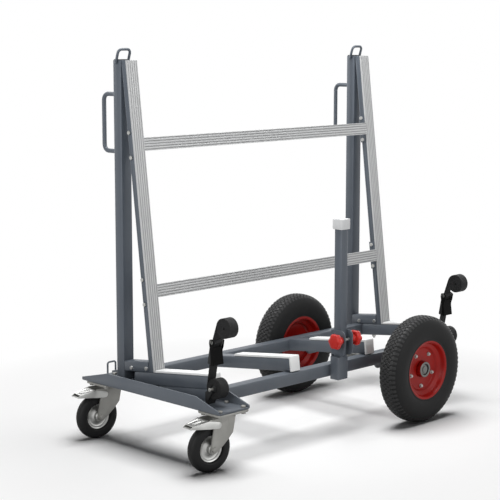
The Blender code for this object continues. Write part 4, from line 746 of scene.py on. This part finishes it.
for side in ("front", "back"):
    place = joint_place(f"wheel_{side}_spin")[0]
    outward = outward_of(side)
    hub = turned(f"wheel_{side}_turned_hub", hub_profile, place, outward)
    rounded_edges(hub, hub_edge)
    deselect()
    bpy.ops.mesh.primitive_cylinder_add(vertices=6, radius=nut_across / 2, depth=nut_height)
    nut = bpy.context.active_object
    rounded_edges(nut, nut_edge, 2, nut_edge_angle)
    nut.data.transform(Matrix.Translation(upwards * (nut_height / 2)))
    stud = turned("stud_end", stud_end, at_origin, upwards, stud_steps, closed=False)
    joined(nut, stud, turned("washer", washer_profile, at_origin, upwards, washer_steps))
    turns = [2 * pi * (index + stud_share) / stud_count for index in range(stud_count)]
    spots = [(stud_circle * cos(turn), stud_circle * sin(turn), washer_foot) for turn in turns]
    repeated(nut, [standing(place, outward) @ Matrix.Translation(spot) for spot in spots])
    joined(hub, nut)
    finished(smooth(hub), red, body_of(f"wheel_{side}_hub"), f"wheel_{side}_hub")
    bright(hub, lambda spot: (spot - place).dot(outward) > rim_face
           and nut_inside < hypot(spot.x - place.x, spot.z - place.z) < nut_outside)
    hub.data.materials.append(oiled_steel)
    for face in hub.data.polygons:
        out = (face.center - place).dot(outward)
        from_axis = hypot(face.center.x - place.x, face.center.z - place.z)
        if from_axis < barrel_reach and (out > bearing_start or from_axis < bearing_reach):
            face.material_index = 2


# Axle. A steel bar through both beams' plates, with spacer tubes outside the beams and a
# sprung retaining ring in a groove at each end. Ground bright and oiled.
axle_edge = 0.0007
turned_edge_angle = 35.0
eased("axle", oiled_steel, axle_edge, 2, turned_edge_angle)


# Clamp screw. A zinc-plated threaded rod through both cheeks of the post's clamp; a star
# knob is screwed on at each end.
def threaded_zinc():
    """Bright zinc with the turns of a fine thread, darker in its roots."""
    root, crest = (0.10, 0.10, 0.095), (0.42, 0.43, 0.43)
    plate = Finish("threaded_zinc", 0.35, 0.9)
    turns = (plate.part("X") * (2 * pi / thread_pitch)).sine() * 0.5 + 0.5
    cloud = plate.grain(160.0, 4.0)
    plate.set(Base_Color=plate.mixed(turns, root, crest), Roughness=0.30 + cloud * 0.25)
    plate.bumps(turns, 0.0004, 0.8)
    return plate.material


thread_pitch = 0.0015
screw_edge = 0.0004
screw_edge_angle = 40.0
eased("clamp_screw", threaded_zinc(), screw_edge, 2, screw_edge_angle)


# Star knobs. Moulded red plastic with wavy rims for the fingers, a raised boss on the outer
# face and a short collar towards the clamp.
def red_plastic():
    """Moulded red plastic: smooth, slightly cloudy, with faint scratches and soft dirt."""
    dark, light, dirty = (0.34, 0.010, 0.007), (0.46, 0.018, 0.012), (0.16, 0.02, 0.018)
    plastic = Finish("red_plastic", 0.30, specular=0.3)
    cloud = plastic.grain(60.0, 3.0)
    marks = plastic.grain(260.0, 6.0, 0.7)
    dirt = ((marks - 0.60) * 4.0).clipped() * 0.35
    colour = plastic.mixed(cloud, dark, light)
    colour = plastic.mixed(dirt, colour, dirty)
    plastic.set(Base_Color=colour, Roughness=0.30 + cloud * 0.10 + dirt * 0.4)
    plastic.bumps(marks, 0.00008, 0.5)
    return plastic.material


knob_red = red_plastic()
knob_profile = [(0.0004, 0.0318), (0.0053, 0.0318), (0.0053, 0.0), (0.0122, 0.0), (0.0130, 0.0008),
                (0.0130, 0.0185), (0.0136, 0.0198), (0.0180, 0.0204), (0.0225, 0.0208), (0.0252, 0.0222),
                (0.0266, 0.0250), (0.0272, 0.0290), (0.0272, 0.0330), (0.0264, 0.0368), (0.0245, 0.0395),
                (0.0205, 0.0411), (0.0150, 0.0418), (0.0090, 0.0420), (0.0004, 0.0420)]
knob_lobes = 6
knob_wave = 0.0019
wave_start = 0.0150             # from the knob's axis
wave_run = 0.0122               # from there to the rim
knob_angle = 40.0
for side in ("left", "right"):
    place, axis = joint_place(f"star_knob_{side}_turn")
    knob = turned(f"star_knob_{side}_moulded", knob_profile, at_origin, upwards, closed=False)
    for vertex in knob.data.vertices:
        reach = hypot(vertex.co.x, vertex.co.y)
        if reach > wave_start:
            share = (reach - wave_start) / wave_run
            angle = vertex.co.xy.angle_signed(Vector((1, 0)))
            grown = 1 + knob_wave * share * cos(knob_lobes * angle) / reach
            vertex.co = (vertex.co.x * grown, vertex.co.y * grown, vertex.co.z)
    knob.data.transform(standing(place, axis))
    finished(smooth(knob, knob_angle), knob_red, body_of(f"star_knob_{side}"), f"star_knob_{side}")


# Strap cradles, ratchets and levers. Pressed steel, coated black; the cradles and ratchets are
# worn greyer than the levers. The ratchet's split spindle and the cradle's pin are bright, and
# peened over at their ends.
def black_steel(name, lift=1.0):
    """Thin black coating on steel, satin, rubbed bright in spots."""
    bare = (0.09, 0.09, 0.088)
    coat = Finish(name, 0.45, 0.0, specular=0.045)
    cloud = coat.grain(40.0, 4.0)
    rubs = coat.grain(150.0, 7.0, 0.72)
    worn = ((rubs - 0.60) * 4.0).clipped() * 0.5
    dark, light = (0.0020 * lift, 0.0021 * lift, 0.0022 * lift), (0.0045 * lift,) * 3
    colour = coat.mixed(cloud, dark, light)
    colour = coat.mixed(worn * 0.5, colour, bare)
    coat.set(Base_Color=colour, Roughness=0.40 + cloud * 0.16, Metallic=worn * 0.3)
    coat.bumps(rubs, 0.00012, 0.5)
    return coat.material


black_coat = black_steel("black_steel")
worn_coat = black_steel("worn_black_steel", lift=9.0)
cradle_edge = 0.0007
lever_edge = 0.0006
frame_edge = 0.0005
pressed_edge_angle = 35.0
spindle_reach = 0.0070
end_facing = 0.9                # how far a spindle end's face looks sideways, from 0 to 1
lower_roll = Vector((-0.00697, -0.15575))       # its middle's depth and height from the spindle
leftwards = Vector((-1, 0, 0))
pin_steps = 32
pin_profile = [(0.0046, -0.0010), (0.0046, 0.0115), (0.0060, 0.0120), (0.0062, 0.0142), (0.0052, 0.0152),
               (0.0010, 0.0155)]
for side in ("left", "right"):
    eased(f"strap_cradle_{side}", worn_coat, cradle_edge, 2, pressed_edge_angle)
    eased(f"ratchet_{side}_lever", black_coat, lever_edge, 2, pressed_edge_angle)
    ratchet = eased(f"ratchet_{side}_frame", worn_coat, frame_edge, 2, pressed_edge_angle)
    ratchet.data.materials.append(oiled_steel)
    spindle = joint_place(f"ratchet_{side}_lever_swing")[0]
    for face in ratchet.data.polygons:
        from_spindle = hypot(face.center.y - spindle.y, face.center.z - spindle.z)
        if from_spindle < spindle_reach and abs(face.normal.x) > end_facing:
            face.material_index = 1
    cradle_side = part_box(f"strap_cradle_{side}")[0][0]
    pin_foot = Vector((cradle_side, *(spindle.yz + lower_roll)))
    pin = turned(f"strap_cradle_{side}_pin_end", pin_profile, pin_foot, leftwards, pin_steps, closed=False)
    finished(pin, fork_zinc, "chassis")


# Strap webbing. Black polyester webbing 35 mm wide, 2 m of it to a strap, woven with a
# herringbone rib; it is wound on the cradle's drum, runs up through the ratchet's split
# spindle, and its tail is rolled up above the ratchet.
def woven_black():
    """Woven webbing: ribs and a herringbone in metres across and along the strap."""
    dark, light = (0.0060, 0.0063, 0.0066), (0.0165, 0.0165, 0.0170)
    weave = Finish("woven_black", 0.75, specular=0.2)
    spot = weave.node("ShaderNodeUVMap", {"uv_map": "UVMap"})
    ribs = (weave.part("X", spot) * (2 * pi / rib_pitch)).sine() * 0.5 + 0.5
    picks = (weave.part("Y", spot) * (2 * pi / pick_pitch) + ribs * 2.2).sine() * 0.5 + 0.5
    cloud = weave.grain(55.0, 3.0)
    fluff = weave.grain(900.0, 2.0)
    tone = (picks * 0.55 + ribs * 0.25 + cloud * 0.3).clipped()
    weave.set(Base_Color=weave.mixed(tone, dark, light), Roughness=0.62 + cloud * 0.25)
    weave.bumps(picks * 0.6 + ribs * 0.5 + fluff * 0.25, 0.0004, 0.7)
    return weave.material


rib_pitch = 0.0024
pick_pitch = 0.0017
webbing_black = woven_black()
strap_width = 0.0355
strap_thickness = 0.0029
strap_pitch = 0.0037            # from one loop of a roll to the next
strap_strands = 4
strap_angle = 50.0
line_inset = 0.0015             # from a roll's outside to its outer loop's middle line
steps_per_loop = 48
lower_roll_radius = 0.0362
upper_roll = Vector((-0.05247, 0.05175))        # its middle's depth and height from the spindle
upper_roll_radius = 0.0353
drum_radius = 0.0115
tail_core = 0.0020              # the tail is rolled on itself
strap_lean = radians(10.3)
riser_top = 0.0105              # from the spindle
riser_steps = 24
over_steps = 3                  # from the spindle to the tail's roll
wander = 0.0007                 # how far the strap strays to the side
wander_pace = 9.0
wander_starts = {"left": 3.0, "right": 8.0}


def coil(centre, radius, inside, start, direction):
    """Middle line of a roll of strap, from outside inwards, in depth and height."""
    loops = (radius - inside - 2 * line_inset) / strap_pitch
    line = []
    for step in range(int(round(loops * steps_per_loop)) + 1):
        turn = 2 * pi * step / steps_per_loop
        reach = radius - line_inset - strap_pitch * turn / (2 * pi)
        turned_to = start + direction * turn
        line.append(centre + Vector((cos(turned_to), sin(turned_to))) * reach)
    return line


def strap_line(spindle):
    """The whole strap's middle line: lower roll, riser, spindle and rolled tail."""
    low, high = spindle.yz + lower_roll, spindle.yz + upper_roll
    wound = coil(low, lower_roll_radius, drum_radius, strap_lean, -1)[::-1]
    top = spindle.yz + Vector((-sin(strap_lean), cos(strap_lean))) * riser_top
    rise = [wound[-1].lerp(top, step / riser_steps) for step in range(1, riser_steps + 1)]
    back = top - high
    reach = upper_roll_radius - line_inset
    start = Vector((1, 0)).angle(back) * (1 if back.y > 0 else -1) + acos(min(1.0, reach / back.length))
    rolled = coil(high, upper_roll_radius, tail_core, start, 1)
    over = [top.lerp(rolled[0], step / over_steps) for step in range(1, over_steps)]
    return wound + rise + over + rolled


for side in ("left", "right"):
    spindle = joint_place(f"ratchet_{side}_lever_swing")[0]
    line = strap_line(spindle)
    deselect()
    bpy.ops.mesh.primitive_grid_add(x_subdivisions=strap_strands, y_subdivisions=len(line) - 1, size=2)
    strap = bpy.context.active_object
    strap.name = f"strap_{side}_woven"
    lengths = [0.0]
    for here, there in zip(line, line[1:]):
        lengths.append(lengths[-1] + (there - here).length)
    shifts = [wander * noise.noise(Vector((length * wander_pace, wander_starts[side], 0)))
              for length in lengths]
    places = []
    for vertex in strap.data.vertices:
        row = round((vertex.co.y + 1) / 2 * (len(line) - 1))
        across = vertex.co.x * strap_width / 2
        places.append((across, lengths[row]))
        vertex.co = (spindle.x + across + shifts[row], line[row].x, line[row].y)
    for loop in strap.data.loops:
        strap.data.uv_layers[0].data[loop.index].uv = places[loop.vertex_index]
    thick = strap.modifiers.new("thick", "SOLIDIFY")
    thick.thickness = strap_thickness
    thick.offset = 0.0
    thick.use_rim = True
    bpy.context.view_layer.objects.active = strap
    bpy.ops.object.modifier_apply(modifier=thick.name)
    finished(smooth(strap, strap_angle), webbing_black, "chassis", f"strap_webbing_{side}")


# Backdrop. A white sky: the camera, gloss and glass see it at full white, and as a light it is
# only a faint fill.
white = (1.0, 1.0, 1.0)
fill_strength = 0.03
world = bpy.data.worlds.new("studio")
bpy.context.scene.world = world
world.use_nodes = True
sky = Nodes(world.node_tree)
fill = world.node_tree.nodes["Background"]
sky.feed(fill.inputs["Color"], white)
sky.feed(fill.inputs["Strength"], fill_strength)
backdrop = sky.node("ShaderNodeBackground", {}, {"Color": white})
by_camera, by_glass, by_gloss = [sky.node("ShaderNodeLightPath", out=f"Is {ray} Ray")
                                 for ray in ("Camera", "Transmission", "Glossy")]
seen = by_camera.greatest(by_glass).greatest(by_gloss)
shown = sky.node("ShaderNodeMixShader", {}, {0: seen, 1: Value(sky, fill.outputs[0]), 2: backdrop})
sky.feed(world.node_tree.nodes["World Output"].inputs["Surface"], shown)


# Lamps. One square soft lamp overhead, whose shadow falls on the floor, and four at the sides
# that light the buggy alone.
overhead_place = (0.05, 0.10, 3.2)
overhead_aim = (0.05, 0.05, 0)
overhead_size = 2.1
overhead_power = 124
side_lamps = {"left": ((-3.3, -0.7, 1.7), 76), "front": ((0.9, -3.5, 1.5), 44),
              "right": ((3.3, 0.5, 1.6), 40), "back": ((0.2, 3.5, 1.6), 46)}
side_lamp_aim = (0, 0, 0.6)
side_lamp_size = 2.4
buggy = bpy.data.collections.new("buggy")
for piece in bpy.data.objects:
    if piece.type == "MESH":
        buggy.objects.link(piece)


def lamp(name, place, aim, size, power):
    """A square soft lamp that shines from its place towards a point."""
    light = bpy.data.lights.new(name, "AREA")
    light.size = size
    light.energy = power
    made = bpy.data.objects.new(name, light)
    made.location = place
    made.rotation_euler = (Vector(aim) - Vector(place)).to_track_quat("-Z", "Y").to_euler()
    bpy.context.scene.collection.objects.link(made)
    return made


lamp("overhead", overhead_place, overhead_aim, overhead_size, overhead_power)
for name, (place, power) in side_lamps.items():
    side_lamp = lamp(name, place, side_lamp_aim, side_lamp_size, power)
    side_lamp.light_linking.receiver_collection = buggy


# Floor. A pale ground that catches the buggy's shadow and fades to pure white away from it,
# so that no edge shows against the backdrop.
floor_size = 30
floor_drop = 0.0005
floor_colour = (0.93, 0.93, 0.93)
fade_start = 0.80               # from the middle of the floor
fade_rate = 1.3                 # a metre
deselect()
bpy.ops.mesh.primitive_plane_add(size=floor_size, location=(0, 0, -floor_drop))
floor = bpy.context.active_object
floor.name = "studio_floor"
ground = Finish("studio_ground", 0.9)
ground.set(Base_Color=floor_colour)
across, deep = ground.part("X"), ground.part("Y")
away = (across * across + deep * deep).root()
fade = ((away - fade_start) * fade_rate).clipped()
glow = ground.node("ShaderNodeEmission", {}, {"Color": white, "Strength": 1.0})
faded = ground.node("ShaderNodeMixShader", {}, {0: fade, 1: Value(ground, ground.shader.outputs[0]), 2: glow})
ground.feed(ground.tree.nodes["Material Output"].inputs["Surface"], faded)
floor.data.materials.append(ground.material)


# Camera. Stands where the photo was taken from, at the buggy's left front and a little above
# its rack, and looks down at it.
photo_width = 500
focal_length = 1480.57          # in the photo's pixels
sensor_width = 36.0
camera_offset = Vector((-4.1962, -3.3531, 1.4355))      # from the ground below the front wheel
camera_fall = 8.483             # degrees below level
camera_heading = 45.311         # degrees
axle_place = joint_place("wheel_front_spin")[0]
camera_data = bpy.data.cameras.new("camera")
camera_data.sensor_width = sensor_width
camera_data.lens = focal_length / photo_width * sensor_width
camera = bpy.data.objects.new("camera", camera_data)
camera.location = camera_offset + Vector((*axle_place.xy, 0))
camera.rotation_euler = (radians(90 - camera_fall), 0, radians(camera_heading - 90))
bpy.context.scene.collection.objects.link(camera)
bpy.context.scene.camera = camera
bpy.context.scene.view_settings.view_transform = "Standard"
